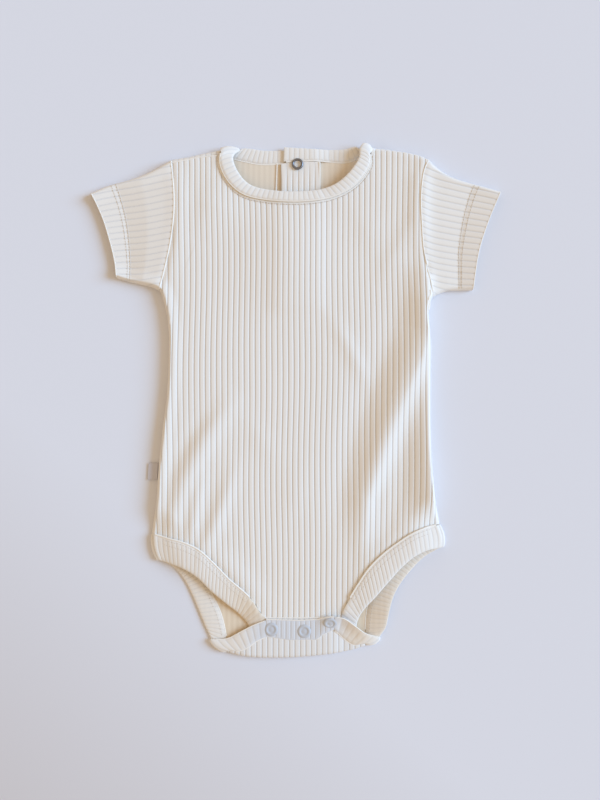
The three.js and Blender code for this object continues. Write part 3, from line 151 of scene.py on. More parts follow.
def put(name, points, faces, material=None, smooth_to=50, **values):
    """Makes an object from points in millimetres; values, one for each point, are kept as attributes."""
    _, first, back = np.unique(np.round(points, 4), axis=0, return_index=True, return_inverse=True)
    faces = back.reshape(-1)[faces]
    kept = (faces[:, 0] != faces[:, 1]) & (faces[:, 1] != faces[:, 2]) & (faces[:, 2] != faces[:, 0])
    faces = faces[kept]
    mesh = bpy.data.meshes.new(name)
    mesh.vertices.add(len(first))
    mesh.vertices.foreach_set("co", (points[first] * MM).astype(np.float32).ravel())
    mesh.loops.add(3 * len(faces))
    mesh.loops.foreach_set("vertex_index", faces.astype(np.int32).ravel())
    mesh.polygons.add(len(faces))
    mesh.polygons.foreach_set("loop_start", np.arange(0, 3 * len(faces), 3, dtype=np.int32))
    for key, value in values.items():
        attribute = mesh.attributes.new(key, "FLOAT", "POINT")
        attribute.data.foreach_set("value", np.broadcast_to(value, len(points))[first].astype(np.float32))
    mesh.update(calc_edges=True)
    mesh.validate()
    mesh.shade_smooth()
    if smooth_to:
        mesh.set_sharp_from_angle(angle=np.radians(smooth_to))
    piece = bpy.data.objects.new(name, mesh)
    bpy.context.collection.objects.link(piece)
    if material:
        mesh.materials.append(material)
    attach(piece, "root")
    print(name, len(first), "points", len(faces), "triangles")
    return piece

# %% [markdown]
# A seam on a garment is a smooth curve, and a few points and a spline through them draw it.
# It is the kind of spline that the solids were drawn with, so the cloth lies exactly on the solid's form.

# %% Curves and smooth steps
def spline(knots, part):
    """A centripetal Catmull-Rom curve; part goes from 0 to 1, by as much from each knot to the next."""
    knots = np.asarray(knots, float)
    last = len(knots) - 1
    place = np.asarray(part, float) * last
    i = np.clip(np.floor(place).astype(int), 0, last - 1)
    w = (place - i)[..., None]
    more = np.vstack([2 * knots[0] - knots[1], knots, 2 * knots[-1] - knots[-2]])
    p0, p1, p2, p3 = more[i], more[i + 1], more[i + 2], more[i + 3]
    pairs = ((p0, p1), (p1, p2), (p2, p3))
    d0, d1, d2 = (np.sqrt(np.linalg.norm(b - a, axis=-1))[..., None] for a, b in pairs)
    t1 = ((p1 - p0) / d0 - (p2 - p0) / (d0 + d1) + (p2 - p1) / d1) * d1
    t2 = ((p2 - p1) / d1 - (p3 - p1) / (d1 + d2) + (p3 - p2) / d2) * d1
    return p1 + t1 * w + (3 * (p2 - p1) - 2 * t1 - t2) * w**2 + (2 * (p1 - p2) + t1 + t2) * w**3


def way_along(line):
    """How far along the line each of its points is."""
    return np.concatenate([[0], np.cumsum(np.linalg.norm(np.diff(line, axis=0), axis=1))])


def by_length(knots, part):
    """The same curve, where part goes by length along it."""
    steps = np.linspace(0, 1, 401)
    way = way_along(spline(knots, steps))
    return spline(knots, np.interp(np.asarray(part, float) * way[-1], way, steps))


def dense(knots, count):
    """The curve's points that cut it into count equal lengths."""
    return by_length(knots, np.linspace(0, 1, count + 1))


def length_of(line):
    """The sum of the lengths of the line's steps."""
    return np.linalg.norm(np.diff(line, axis=0), axis=1).sum()


def ease(value, low, high):
    """0 below low, 1 above high and a smooth curve between."""
    part = np.clip((value - low) / (high - low), 0, 1)
    return part * part * (3 - 2 * part)


def mix(a, b, part):
    """a where part is 0, b where it is 1, and in proportion between."""
    return a + (b - a) * part


def level(value):
    """A line that has the same value at every place."""
    return lambda x: np.zeros(np.shape(x)) + value


def look_up(line, value, key=0, out=1):
    """The line's coordinate out where its coordinate key has the value."""
    line = np.asarray(line)
    line = line if line[0, key] < line[-1, key] else line[::-1]
    return np.interp(value, line[:, key], line[:, out])


def nearest(line, x, y):
    """How far each (x, y) is from a line, on which side, and where along it, in rows of the line."""
    best, side, place = np.full(np.shape(x), 1e9), np.ones(np.shape(x)), np.zeros(np.shape(x))
    for i, ((ax, ay), (bx, by)) in enumerate(zip(line[:-1], line[1:])):
        dx, dy = bx - ax, by - ay
        part = np.clip(((x - ax) * dx + (y - ay) * dy) / (dx * dx + dy * dy), 0, 1)
        off_x, off_y = x - ax - part * dx, y - ay - part * dy
        far = np.hypot(off_x, off_y)
        near = far < best
        best = np.where(near, far, best)
        side = np.where(near, np.where(dx * off_y - dy * off_x >= 0, 1, -1), side)
        place = np.where(near, i + part, place)
    return best, side, place

# %% [markdown]
# The garment's outline is measured once, in millimetres, and shared by every piece that meets along it.
# Left and right are the picture's, and each pair is a point (x, y).

# %% Outlines of the panels
SIDE_LEFT = [(-117.9, -109.9), (-114.2, -82), (-112.1, -53.3), (-109.3, -26.2), (-105.6, 4.1),
             (-103.9, 32.8), (-104.3, 59), (-107.2, 77.1), (-110.9, 88.6)]
SIDE_RIGHT = [(117.5, -101.7), (114.2, -82), (111.3, -53.3), (110.1, -24.6), (110.1, 12.3), (110.5, 41),
              (109.3, 57.4), (108.3, 74), (111.6, 84)]
ARMHOLE_LEFT = [(-110.9, 88.6), (-106.8, 105), (-102.7, 123), (-99.8, 141), (-98.6, 159.9),
                (-99.4, 177.1), (-101.3, 196)]
ARMHOLE_RIGHT = [(111.6, 84), (107.6, 102.5), (103.5, 122.2), (101.9, 141), (101.1, 159.9),
                 (101.9, 175.5), (104.3, 188), (108.4, 196.4)]
SLEEVE_TOP_LEFT = [(-101.3, 196), (-113.8, 189), (-123.6, 184.1), (-135.9, 179.6), (-152.3, 175.1),
                   (-167.1, 168.9)]
SLEEVE_LOW_LEFT = [(-110.9, 88.6), (-116.2, 91.4), (-125.3, 93.9), (-135.9, 96.4), (-145.8, 99.2)]
CUFF_LEFT = [(-145.8, 99.2), (-147.8, 113.2), (-151.5, 128.7), (-156.8, 146), (-162.2, 158.7),
             (-167.1, 168.9)]
SLEEVE_TOP_RIGHT = [(108.4, 196.4), (115, 189.8), (123.2, 184.1), (134.7, 179.2), (151.1, 174.7),
                    (167.1, 170.2)]
SLEEVE_LOW_RIGHT = [(111.6, 84), (116.6, 86.5), (123.2, 88.7), (133, 89.4), (144.1, 89.4)]
CUFF_RIGHT = [(144.1, 89.4), (146.2, 105), (149, 121.4), (154.8, 140.2), (160.9, 155.8), (167.1, 170.2)]
SHOULDER_LEFT = [(-101.3, 196), (-86.7, 198.4), (-74.4, 201.3), (-62.2, 203.8)]
SHOULDER_RIGHT = [(65.2, 205.2), (77.3, 204.2), (89.6, 202.5), (100.2, 200.1), (108.4, 196.4)]
FRONT_TOP = [(-101.3, 192), (-90.8, 194), (-78.5, 196.5), (-63.2, 198), (-61.6, 191.5), (-57, 181.5),
             (-50, 173.8), (-43, 168.9), (-25.2, 164), (1.8, 162.3), (24, 164.8), (40.4, 170.9),
             (52.7, 180.8), (59.8, 190.5), (61.2, 198), (62, 204.4), (77.3, 204.2), (89.6, 202.5),
             (100.2, 200.1), (108.4, 196.4)]
LEG_FRONT_LEFT = [(-117.9, -109.9), (-104.8, -112.8), (-91.6, -116), (-78.5, -122.2), (-67, -132.8),
                  (-53.9, -146.4), (-42.4, -156.2), (-34.2, -164.8), (-28.5, -173), (-23.5, -180)]
LEG_FRONT_RIGHT = [(117.5, -101.7), (106, -104.1), (94.5, -108.6), (83, -116), (70.7, -125.5),
                   (59.2, -137.3), (50.2, -150.9), (43.7, -161.9), (38.5, -171.8), (35.6, -180)]
BACK_NECK = [(-61.7, 203.8), (-56.5, 201.4), (-51.5, 199.3), (-41.6, 195.4), (-29.3, 193.2),
             (-12.1, 193.9), (3.5, 195.6), (19.9, 195.6), (40.4, 194.6), (54.3, 199.3), (60, 202.6),
             (64.6, 205.4)]
BOTTOM_FOLD = [(-70.7, -196), (-63.8, -201.7), (-53.9, -206.2), (-37.5, -209.3), (-8.8, -209.9),
               (19.9, -207.9), (44.5, -204.2), (60.9, -198.9), (69.1, -194.8)]
PLACKET_LOW = [(-24.4, -192.3), (-4.7, -195.2), (16.6, -194.8), (22.3, -190.4), (31, -186.5)]
PLACKET_HIGH = [(-24.4, -178.9), (3.5, -179.6), (18.2, -178.8), (24.8, -176.7), (31, -175.8)]

# %% [markdown]
# A band is a folded strip with a seam edge and a free edge, and on a laid garment both can lie anywhere.
# So each stretch of band is a small table. Its rows follow the band, and hold x and y of the seam,
# x and y of the free edge, and then the height of the band's underside at the one and at the other.
# The neckband's front has no heights, because it lies on the front's cloth.

# %% Tables of the bands
LEG_LEFT_FRONT = np.array([
    (-117.9, -109.9, -113, -131.2, 2.4, 2.4), (-111.5, -111.3, -108.3, -132, 5, 2.8),
    (-104.8, -112.8, -103.1, -133.2, 7.6, 3.6), (-91.6, -116, -91.6, -137.3, 7.2, 5.6),
    (-78.5, -122.2, -80.2, -144.3, 6.8, 5.8), (-67, -132.8, -68.7, -155.8, 6.3, 5),
    (-53.9, -146.4, -55.6, -166.9, 5.2, 3.9), (-42.4, -156.2, -48, -173.2, 4.6, 2.4),
    (-34.2, -164.8, -44, -177.5, 4.2, 1.5), (-29.2, -173, -40.5, -181.5, 3.6, 1.3),
    (-24.6, -178, -38, -186, 3.1, 1.3), (-21.5, -184, -36, -190, 1.6, 1.3)])
LEG_LEFT_BACK = np.array([
    (-117.9, -109.9, -113, -131.2, 0, 0), (-94.9, -121.4, -101.5, -135.8, 0, 0),
    (-78.5, -140.2, -91.6, -147, 0, 0), (-68.7, -159.1, -84, -162, 0, 0),
    (-61.3, -176.3, -77.5, -178, 0, 0), (-57.6, -193.5, -73, -189, 0, 0),
    (-57.2, -205.8, -70.7, -196, 0, 0)])
LEG_LEFT_FLAP = np.array([
    (-57.2, -205.8, -70.7, -196, 2.3, 2), (-47.4, -204.6, -57, -194.6, 3.7, 2.4),
    (-39.2, -201.3, -44.5, -188, 4.4, 4.2), (-31.8, -195.9, -34.2, -182.6, 4.5, 4.7),
    (-24.3, -192.5, -24.3, -178.9, 4.4, 4.4)])
LEG_RIGHT_FRONT = np.array([
    (117.5, -101.7, 120.7, -120.1, 2.4, 2.6), (112, -102.8, 114.5, -121, 5, 4.4),
    (106, -104.1, 108.4, -121.8, 7.8, 6.4), (94.5, -108.6, 97.8, -125.9, 7.5, 8.4),
    (83, -116, 87.1, -134.1, 7.1, 9), (70.7, -125.5, 75.6, -146.8, 7.4, 8.8),
    (59.2, -137.3, 64.2, -160.3, 7, 7.6), (50.2, -150.9, 56, -169.6, 5.2, 6),
    (43.7, -161.9, 52, -176, 4.3, 4.4), (38.5, -171.8, 50, -181.5, 3.5, 3.2),
    (35.6, -181.5, 49.5, -186, 3, 2.2), (35, -190, 49.5, -191, 1.6, 1.6)])
LEG_RIGHT_BACK = np.array([
    (117.5, -101.7, 120.7, -120.1, 0, 0), (93.7, -114.8, 106.5, -127.5, 0, 0),
    (75.6, -132.8, 91, -142.5, 0, 2), (64.2, -151.7, 80.6, -157.8, 0, 3.6),
    (58.6, -170.6, 76, -173, 0, 4.4), (57, -188.6, 73.2, -186.5, 0, 3),
    (57.6, -199.7, 69.1, -194.8, 0, 0)])
LEG_RIGHT_FLAP = np.array([
    (57.6, -199.7, 69.1, -194.8, 2.3, 2), (48, -199.8, 57.5, -190.2, 2.7, 4.4),
    (40.6, -195.4, 48.5, -183.2, 2.8, 7), (35.5, -190.4, 39.8, -177, 3.8, 8),
    (31, -186.6, 31.4, -175.4, 4.9, 7.6)])
NECK_FRONT = np.array([
    (-60.6, 201.2, -46, 205), (-61.3, 197, -50.4, 200), (-60.6, 190, -50.6, 194),
    (-54.7, 177.9, -45.7, 183.3), (-43.3, 167.7, -37.5, 175), (-25.2, 162.8, -22.8, 170.6),
    (1.8, 161.1, 1.8, 169), (24, 163.6, 20, 170.9), (40.4, 169.7, 33.6, 176), (52.7, 179.6, 44.6, 186),
    (60.2, 191.9, 51.4, 197), (62.6, 203.4, 54.4, 208.4)])
NECK_BACK_LEFT = np.array([
    (12, 195.8, 12, 205.2, 0, 0), (3.5, 195.6, 3.5, 205.2, 0, 0), (-12.1, 193.9, -12.1, 204.2, 0, 0),
    (-29.3, 193.2, -27, 204.3, 0, 0), (-41.6, 195.4, -36.5, 205.7, 0, 0),
    (-50.5, 197.6, -42.5, 206, 0, 0), (-60.6, 201.2, -46, 205, 0, 0)])
NECK_BACK_RIGHT = np.array([
    (62.6, 203.4, 54.4, 208.4, 0, 0), (54.3, 199.3, 47.5, 207.4, 0, 0), (40.4, 194.6, 40.4, 205.4, 0, 0),
    (28, 195.2, 28, 204.8, 0, 0), (15, 195.8, 15, 205, 2.4, 2.4), (-10, 194.6, -9.5, 206.4, 2.4, 2.4)])
LEG_BACK_LEFT, LEG_BACK_RIGHT = LEG_LEFT_BACK[:, :2], LEG_RIGHT_BACK[:, :2]

# %% Lines that the outlines give
SIDE_LEFT_LINE, SIDE_RIGHT_LINE = dense(SIDE_LEFT, 40), dense(SIDE_RIGHT, 40)
ARMHOLE_LEFT_LINE, ARMHOLE_RIGHT_LINE = dense(ARMHOLE_LEFT, 30), dense(ARMHOLE_RIGHT, 30)
BOTTOM_FOLD_LINE = dense(BOTTOM_FOLD, 60)
ROLLED = [SIDE_LEFT_LINE, SIDE_RIGHT_LINE, dense(SLEEVE_TOP_LEFT, 16), dense(SLEEVE_LOW_LEFT, 10),
          dense(SLEEVE_TOP_RIGHT, 16), dense(SLEEVE_LOW_RIGHT, 10), SHOULDER_LEFT, SHOULDER_RIGHT]
print("armholes", round(length_of(ARMHOLE_LEFT_LINE)), round(length_of(ARMHOLE_RIGHT_LINE)), "mm")

# %% [markdown]
# Two layers of cloth round a hollow make a low pillow: the front rises from the back round a rolled edge
# and stays nearly level, except where it has folded when the garment was laid down.
# Each main fold is a crest drawn as a line, with its own height and its own steepness on both
# sides. A simulation would put folds where it likes, and here they have their places.

# %% Crests of the folds
# each point: x, y, rise, how far the slope reaches left and right of the line; a trough's rise is negative
FOLDS = {
    "long": [(106, 98, 3.6, 13, 5), (105.5, 82, 5.6, 13, 6), (106.5, 57, 6.4, 15, 6),
             (101.5, 37, 6.3, 17, 8), (88.5, 8, 6, 15, 10), (78.5, -16, 5.6, 12.5, 10),
             (68, -45, 5, 11.5, 10), (57, -80, 3.8, 11, 7), (54, -112, 1.8, 10, 8),
             (54, -130, 0.4, 8, 8)],
    "long_trough": [(80, 84, 0, 14, 9), (78, 60, -0.8, 14, 9), (72, 38, -1.2, 14, 9),
                    (58, 4, -1.3, 14, 9), (45, -33, -1.2, 12, 9), (38, -66, -1, 10, 8),
                    (34, -94, -0.5, 8, 8), (31, -110, 0, 8, 8)],
    "edge": [(109.5, 30, 0.5, 12, 3), (109.5, -6, 3.2, 13.5, 3), (109.5, -40, 5, 14, 3),
             (110.5, -70, 5.5, 14, 3), (111, -90, 5.6, 13, 3), (112, -106, 2, 12, 3)],
    "edge_trough": [(92, -10, 0, 8, 8), (88, -40, -0.7, 9, 8), (84, -75, -1.0, 10, 8),
                    (75, -104, -0.8, 9, 8), (62, -122, -0.3, 8, 8)],
    "corner": [(-48, 10, 0, 9, 9), (-57, -9, 1.3, 10, 10), (-64.6, -18, 2.0, 10, 10),
               (-75, -34, 2.5, 10, 10), (-90, -66, 2.5, 9, 9), (-101, -98, 1.9, 8, 8),
               (-107, -114, 0.6, 7, 7)],
    "corner_trough": [(-61, -2, 0, 7, 7), (-78, -20, -0.8, 7, 7), (-90, -38, -0.9, 7, 7),
                      (-101, -60, -0.4, 7, 7)],
    "short": [(-73, -54, 0, 6, 6), (-79.5, -78, 1.4, 5.5, 5.5), (-83.4, -102, 1.5, 5.5, 5.5),
              (-86, -118, 0.4, 6, 6)],
    "third": [(-47, -46, 0, 7, 7), (-57, -78, 1.6, 6.5, 7), (-66.2, -102, 1.9, 6.5, 7),
              (-74.4, -121, 0.6, 6, 6)],
    "leg_left": [(-76, -121, 0.6, 4, 9), (-60.5, -132, 1.4, 4, 10), (-45.7, -147, 2.1, 4.5, 10),
                 (-34, -158, 2.4, 4.5, 9), (-25, -172, 0.9, 4, 8)],
    "leg_right": [(106, -102, 0.5, 9, 4), (89.6, -109, 1.1, 10, 4), (73.2, -120, 1.6, 11, 4),
                  (61, -133, 1.6, 11, 4), (50.2, -149, 1.3, 10, 4), (40.4, -167, 0.3, 9, 4)],
    "armhole_right": [(106, 198, 0.5, 7, 6), (102, 176, 2.4, 9, 7), (101, 150, 2.2, 9, 7),
                      (103, 124, 1.2, 8, 6), (108, 98, 0.2, 7, 6)],
    "armhole_left": [(-97, 192, 0.3, 6, 8), (-95, 164, 1.3, 6, 8), (-96, 131, 1.2, 6, 8),
                     (-101, 98, 0.3, 6, 8)],
    "shoulder": [(104, 158, 0, 8, 11), (90, 134, 1.1, 8, 12), (78, 112, 0.8, 8, 12), (68, 92, 0, 8, 12)],
    "chest_left": [(-60, 186, 0.3, 14, 20), (-68, 158, 1.7, 13, 20), (-80, 130, 0.5, 12, 18)],
    "chest": [(-8, 160, 0.8, 34, 30), (-6, 132, 2.8, 38, 32), (-4, 100, 2.6, 38, 32),
              (2, 62, 0.5, 30, 26)],
    "chest_right": [(44, 164, 0, 10, 14), (58, 140, 0.8, 10, 14), (66, 118, 0.2, 10, 14)],
    "crease": [(30, 70, 0, 7, 6), (38, 52, 0.9, 7, 6), (50, 30, 1, 7, 6), (60, 8, 0.2, 7, 6)],
    "belly": [(-44, -8, 0, 9, 9), (-28, -32, 0.6, 9, 9), (-14, -56, 0, 9, 9)],
    "hip": [(6, -40, 0, 10, 10), (0, -76, 0.6, 10, 10), (-8, -106, 0, 10, 10)],
}
print("folds", len(FOLDS))

# %% Heights of the cloth
CLOTH = 1.2  # one layer's thickness
BAND = 1.6  # a folded band's thickness
ON_BACK = CLOTH + 0.3
ROLL = 3  # the width of the quarter round at the edge
LOFT = 6.7  # the front's upper face over the surface
EDGE_SWELL = 1.3
CROTCH_HEIGHT = 4.0
CORNER_HEIGHT = 3.4  # at the two side corners over the legs
SLIT_X, SLIT_LOW, STRIP_WIDTH = -12, 72, 32  # the back opening and its facing strip
PLATEAU = 0.7  # how much the facing strips lift the front over them


def edge_distance(x, y):
    """The distance to the nearest edge at which the cloth rolls over."""
    return np.minimum.reduce([nearest(line, x, y)[0] for line in ROLLED])


def fold_height(x, y):
    """The sum of every crest's rise times exp(-(distance / reach) squared)."""
    height = 0
    for crest in FOLDS.values():
        rows = np.array(crest, float)
        far, side, place = nearest(rows[:, :2], x, y)
        rise, left, right = (np.interp(place, np.arange(len(rows)), rows[:, k]) for k in (2, 3, 4))
        height = height + rise * np.exp(-((far / np.where(side > 0, right, left)) ** 2))
    return height


def corner_distance(x, y):
    """The distance to the nearer of the two side corners over the legs."""
    return np.minimum.reduce([np.hypot(x - at[0], y - at[1]) for at in (SIDE_LEFT[0], SIDE_RIGHT[0])])


def loft(x, y, edge):
    """The front's height over the hollow: its loft, a swell along the edge, the folds and the plateau."""
    swell = EDGE_SWELL * ease(edge, 0.5, 2.5) * (1 - ease(edge, 3, 12)) * np.where(x > 0, 0.3, 1)
    strip_end = SLIT_X + STRIP_WIDTH
    strip = ease(x, SLIT_X - 15, SLIT_X + 1) * (1 - ease(x, strip_end - 2, strip_end + 7))
    high = LOFT + swell + fold_height(x, y) + PLATEAU * strip * ease(y, SLIT_LOW - 5, SLIT_LOW + 6)
    high = mix(CORNER_HEIGHT, high, ease(corner_distance(x, y), 2, 26))
    return mix(CROTCH_HEIGHT, high, ease(y, -185, -112))


def quarter(part):
    """A quarter of a circle: 0 where part is 0, level and 1 from where part is 1."""
    return np.sqrt(1 - (1 - np.clip(part, 0, 1)) ** 2)


def outer_height(x, y):
    """The upper face: a quarter of an ellipse round the edge, up to the loft."""
    edge = edge_distance(x, y)
    return ON_BACK + (loft(x, y, edge) - ON_BACK) * quarter(edge / ROLL)


def inner_height(x, y):
    """The lower face: the same round and the same loft, each a cloth's thickness further in."""
    edge = edge_distance(x, y)
    return ON_BACK + (loft(x, y, edge) - CLOTH - ON_BACK) * quarter((edge - CLOTH) / (ROLL - CLOTH))


middle = outer_height(np.zeros(1), np.zeros(1))[0]
print("the front's middle lies", round(middle, 1), "mm over the surface")

# %% [markdown]
# Rib knit stands in flat-topped ridges with a narrow groove between two of them.
# The ridges are real relief here, because they carry the look of the whole garment at any angle.
# Eight columns a rib are enough when most of them stand at the groove's sides.

# %% Ribs
PITCH = 4.45  # from groove to groove
RIB_START = -95.65  # x of one of the grooves
RIB_RISE = 0.5
RIB_OFFSETS = np.array([0, 0.09, 0.17, 0.3, 0.5, 0.7, 0.83, 0.91])


def rib_profile(phase):
    """0 in the middle of a groove, 1 on a rib; phase counts ribs."""
    off = np.abs(phase - np.round(phase))
    return ease(off, 0, 0.17) * (0.92 + 0.08 * ease(off, 0.17, 0.5))


def rib_columns(low, high, pitch, start=0.0, offsets=RIB_OFFSETS):
    """The places of a rib's columns from low to high."""
    first, last = int(np.floor((low - start) / pitch)), int(np.ceil((high - start) / pitch))
    places = ((np.arange(first, last)[:, None] + offsets) * pitch + start).ravel()
    return np.concatenate([[low], places[(places > low) & (places < high)], [high]])


def sway(x, y):
    """Ribs never run quite straight: the sum of two slow waves."""
    return 0.5 * np.sin(y / 46 + x / 70) + 0.35 * np.sin(y / 21 - x / 37 + 1)

print("ribs across the front", round((SIDE_RIGHT[5][0] - SIDE_LEFT[5][0]) / PITCH))

# %% [markdown]
# A material is a small formula: cream on the ribs, painted shade in the grooves, painted warm shade on the
# wrong side and on shaded stretches, and painted cool shade round the crotch snaps.
# Written with nodes one by one it would be long, so a class wraps a socket and adds a Math node
# for each operator. What the formula needs from the mesh, the mesh carries as attributes.

# %% Shader formulas
class Socket:
    """Wraps a shader socket so that sums and products can be written as formulas."""

    def __init__(self, tree, socket):
        self.tree, self.socket = tree, socket

    def math(self, operation, *others):
        """A Math node's output for this socket and the others."""
        values = dict(enumerate((self, *others)))
        node = add_node(self.tree, "ShaderNodeMath", {"operation": operation}, values)
        return Socket(self.tree, node.outputs[0])

    def __add__(self, other):
        return self.math("ADD", other)

    def __sub__(self, other):
        return self.math("SUBTRACT", other)

    def __mul__(self, other):
        return self.math("MULTIPLY", other)

    def __rsub__(self, other):
        return (self * -1.0) + other

    __radd__ = __add__
    __rmul__ = __mul__

    def clamped(self, low, high):
        """The socket's value, held between low and high."""
        return self.math("MAXIMUM", low).math("MINIMUM", high)


def connect(tree, target, value):
    """Links a socket to the target, or sets the constant on the target itself."""
    if isinstance(value, Socket):
        tree.links.new(value.socket, target)
    else:
        target.default_value = value


def add_node(tree, kind, settings=(), values=()):
    """A node of any kind: first its settings, then values or links for its sockets, by name or number."""
    node = tree.nodes.new(kind)
    for key, value in dict(settings).items():
        setattr(node, key, value)
    for key, value in dict(values).items():
        connect(tree, node.inputs[key], value)
    return node


def mix_colours(tree, factor, a, b):
    """Colour a where the factor is 0, b where it is 1; the Mix node's colours are its sockets 6 and 7."""
    node = add_node(tree, "ShaderNodeMix", {"data_type": "RGBA"}, {0: factor, 6: a, 7: b})
    return Socket(tree, node.outputs[2])


def attribute(tree, name):
    """The number that the mesh holds for each point under this name, or 0 if it has none."""
    return Socket(tree, add_node(tree, "ShaderNodeAttribute", {"attribute_name": name}).outputs["Fac"])


def object_place(tree):
    """The Object coordinates of the shaded point, in metres."""
    return Socket(tree, add_node(tree, "ShaderNodeTexCoord").outputs["Object"])


def new_material(name):
    """A material with its node tree and its shader node."""
    material = bpy.data.materials.new(name)
    material.use_nodes = True
    tree = material.node_tree
    return material, tree, tree.nodes["Principled BSDF"]

# %% The rib knit
CREAM, CREAM_GROOVE_SHADE = (0.85, 0.80, 0.735, 1), (0.50, 0.51, 0.54, 1)  # on a rib, and painted shade in a groove
WARM_SHADE, WARM_SHADE_STRIPE = (0.815, 0.675, 0.50, 1), (0.75, 0.61, 0.44, 1)  # painted warm shade on the wrong side and on shaded stretches, with painted stripes of groove shade
COOL_SHADE, COOL_SHADE_GROOVE = (0.69, 0.69, 0.71, 1), (0.5, 0.52, 0.56, 1)  # painted cool shade round the crotch snaps, on a rib and in a groove
FUZZ_SCALE = 900.0  # lumps of fuzz a metre
FUZZ_HIGH = 0.0002


def cloth_material(name, groove_shade_share):
    """Knit: cream on the ribs with painted shade in the grooves, painted warm and cool shade by attribute,
    and a fine uneven fuzz in the bump.
    """
    material, tree, surface = new_material(name)
    place = object_place(tree)
    look = {"Vector": place, "Scale": FUZZ_SCALE, "Detail": 3.0, "Roughness": 0.6}
    fuzz = Socket(tree, add_node(tree, "ShaderNodeTexNoise", values=look).outputs["Fac"])
    # the grooves' colour is painted shade
    groove = (1.0 - attribute(tree, "rib")) * groove_shade_share
    across = Socket(tree, add_node(tree, "ShaderNodeSeparateXYZ", values={"Vector": place}).outputs["X"])
    # painted stripes of groove shade on the wrong side, at the ribs' pitch
    stripe = (across * (2 * np.pi / (PITCH * MM))).math("SINE") * 0.5 + 0.5
    warm_shade_colour = mix_colours(tree, stripe, WARM_SHADE, WARM_SHADE_STRIPE)
    # painted cool shade round the crotch snaps
    cool = attribute(tree, "cool")
    on_rib = mix_colours(tree, cool, CREAM, COOL_SHADE)
    in_groove = mix_colours(tree, cool, CREAM_GROOVE_SHADE, COOL_SHADE_GROOVE)
    right_side = mix_colours(tree, groove, on_rib, in_groove)
    base = mix_colours(tree, attribute(tree, "inside"), right_side, warm_shade_colour)
    connect(tree, surface.inputs["Base Color"], mix_colours(tree, fuzz * 0.1, base, (1, 1, 1, 1)))
    surface.inputs["Roughness"].default_value = 0.95
    surface.inputs["Sheen Weight"].default_value = 0.15
    surface.inputs["Sheen Roughness"].default_value = 0.5
    bump_values = {"Strength": 0.35, "Distance": FUZZ_HIGH, "Height": fuzz}
    bump = add_node(tree, "ShaderNodeBump", values=bump_values)
    tree.links.new(bump.outputs["Normal"], surface.inputs["Normal"])
    return material


knit = cloth_material("rib_knit_cream", 0.5)
band_knit = cloth_material("band_knit_cream", 0.3)

# %% Thread, seams, snaps and the tab
def plain_material(name, colour, roughness, metallic=0.0):
    """One colour all over, for pieces too small to show more."""
    material, _, surface = new_material(name)
    surface.inputs["Base Color"].default_value = colour
    surface.inputs["Roughness"].default_value = roughness
    surface.inputs["Metallic"].default_value = metallic
    return material


# the stitches' tan colour is painted shade of the stitch grooves
thread = plain_material("thread_painted_shade", (0.68, 0.61, 0.54, 1), 0.9)
seam_cloth = plain_material("seam_cream", (0.9, 0.855, 0.79, 1), 0.9)
dark_metal = plain_material("dark_ring", (0.24, 0.24, 0.26, 1), 0.35, 0.9)
pale_ring = plain_material("pale_ring", (0.56, 0.57, 0.60, 1), 0.5)
# the tab is white; its grey is painted shade of the garment's shadow over it
tab_shaded_cloth = plain_material("tab_white_painted_shade", (0.60, 0.585, 0.63, 1), 0.8)
print("materials", len(bpy.data.materials))

# %% [markdown]
# The front is one panel from the shoulders to the crotch.
# Its ribs run straight down the body, and the armholes, the side seams and the leg seams cut them off.
# So its columns are the ribs' own, and each is clipped to the panel's two sides and its two ends.

# %% The front panel's edges
LOWEST_FRONT = -178  # the front's crotch edge


def side_x(side, armhole, y):
    """x of the side seam below the armhole, and of the armhole from there up."""
    return np.where(y < armhole[0, 1], look_up(side, y, 1, 0), look_up(armhole, y, 1, 0))


def front_x(x, y, inset):
    """x held between the panel's sides, which are drawn in by the inset below the arms."""
    left = side_x(SIDE_LEFT_LINE, ARMHOLE_LEFT_LINE, y) + inset * (1 - ease(y, 84, 98))
    right = side_x(SIDE_RIGHT_LINE, ARMHOLE_RIGHT_LINE, y) - inset * (1 - ease(y, 79, 93))
    return np.clip(x, left, right)


def front_bottom(x):
    """The panel's edge under the leg bands: 1.2 mm past the seam, but short of it at the side corners."""
    seam = np.where(x < 0, look_up(LEG_FRONT_LEFT, x), look_up(LEG_FRONT_RIGHT, x))
    corner = np.where(x < 0, LEG_FRONT_LEFT[0][0], LEG_FRONT_RIGHT[0][0])
    return np.maximum(seam, LOWEST_FRONT) - mix(-0.4, 1.2, ease(np.abs(x - corner), 9, 15))


def front_ends(columns, inset):
    """Each column's two ends, from a first guess that is put right eight times."""
    bottom, top = np.full(len(columns), -110.0), np.full(len(columns), 190.0)
    for _ in range(8):
        bottom = front_bottom(front_x(columns, bottom, inset))
        top = look_up(FRONT_TOP, front_x(columns, top, inset))
    return bottom, top


def seam_dip(far, edge):
    """The valley that an armhole's seam draws in the cloth: half a millimetre deep, a bell curve across."""
    return 0.5 * np.exp(-((far / 2.5) ** 2)) * ease(edge, 1, 5)

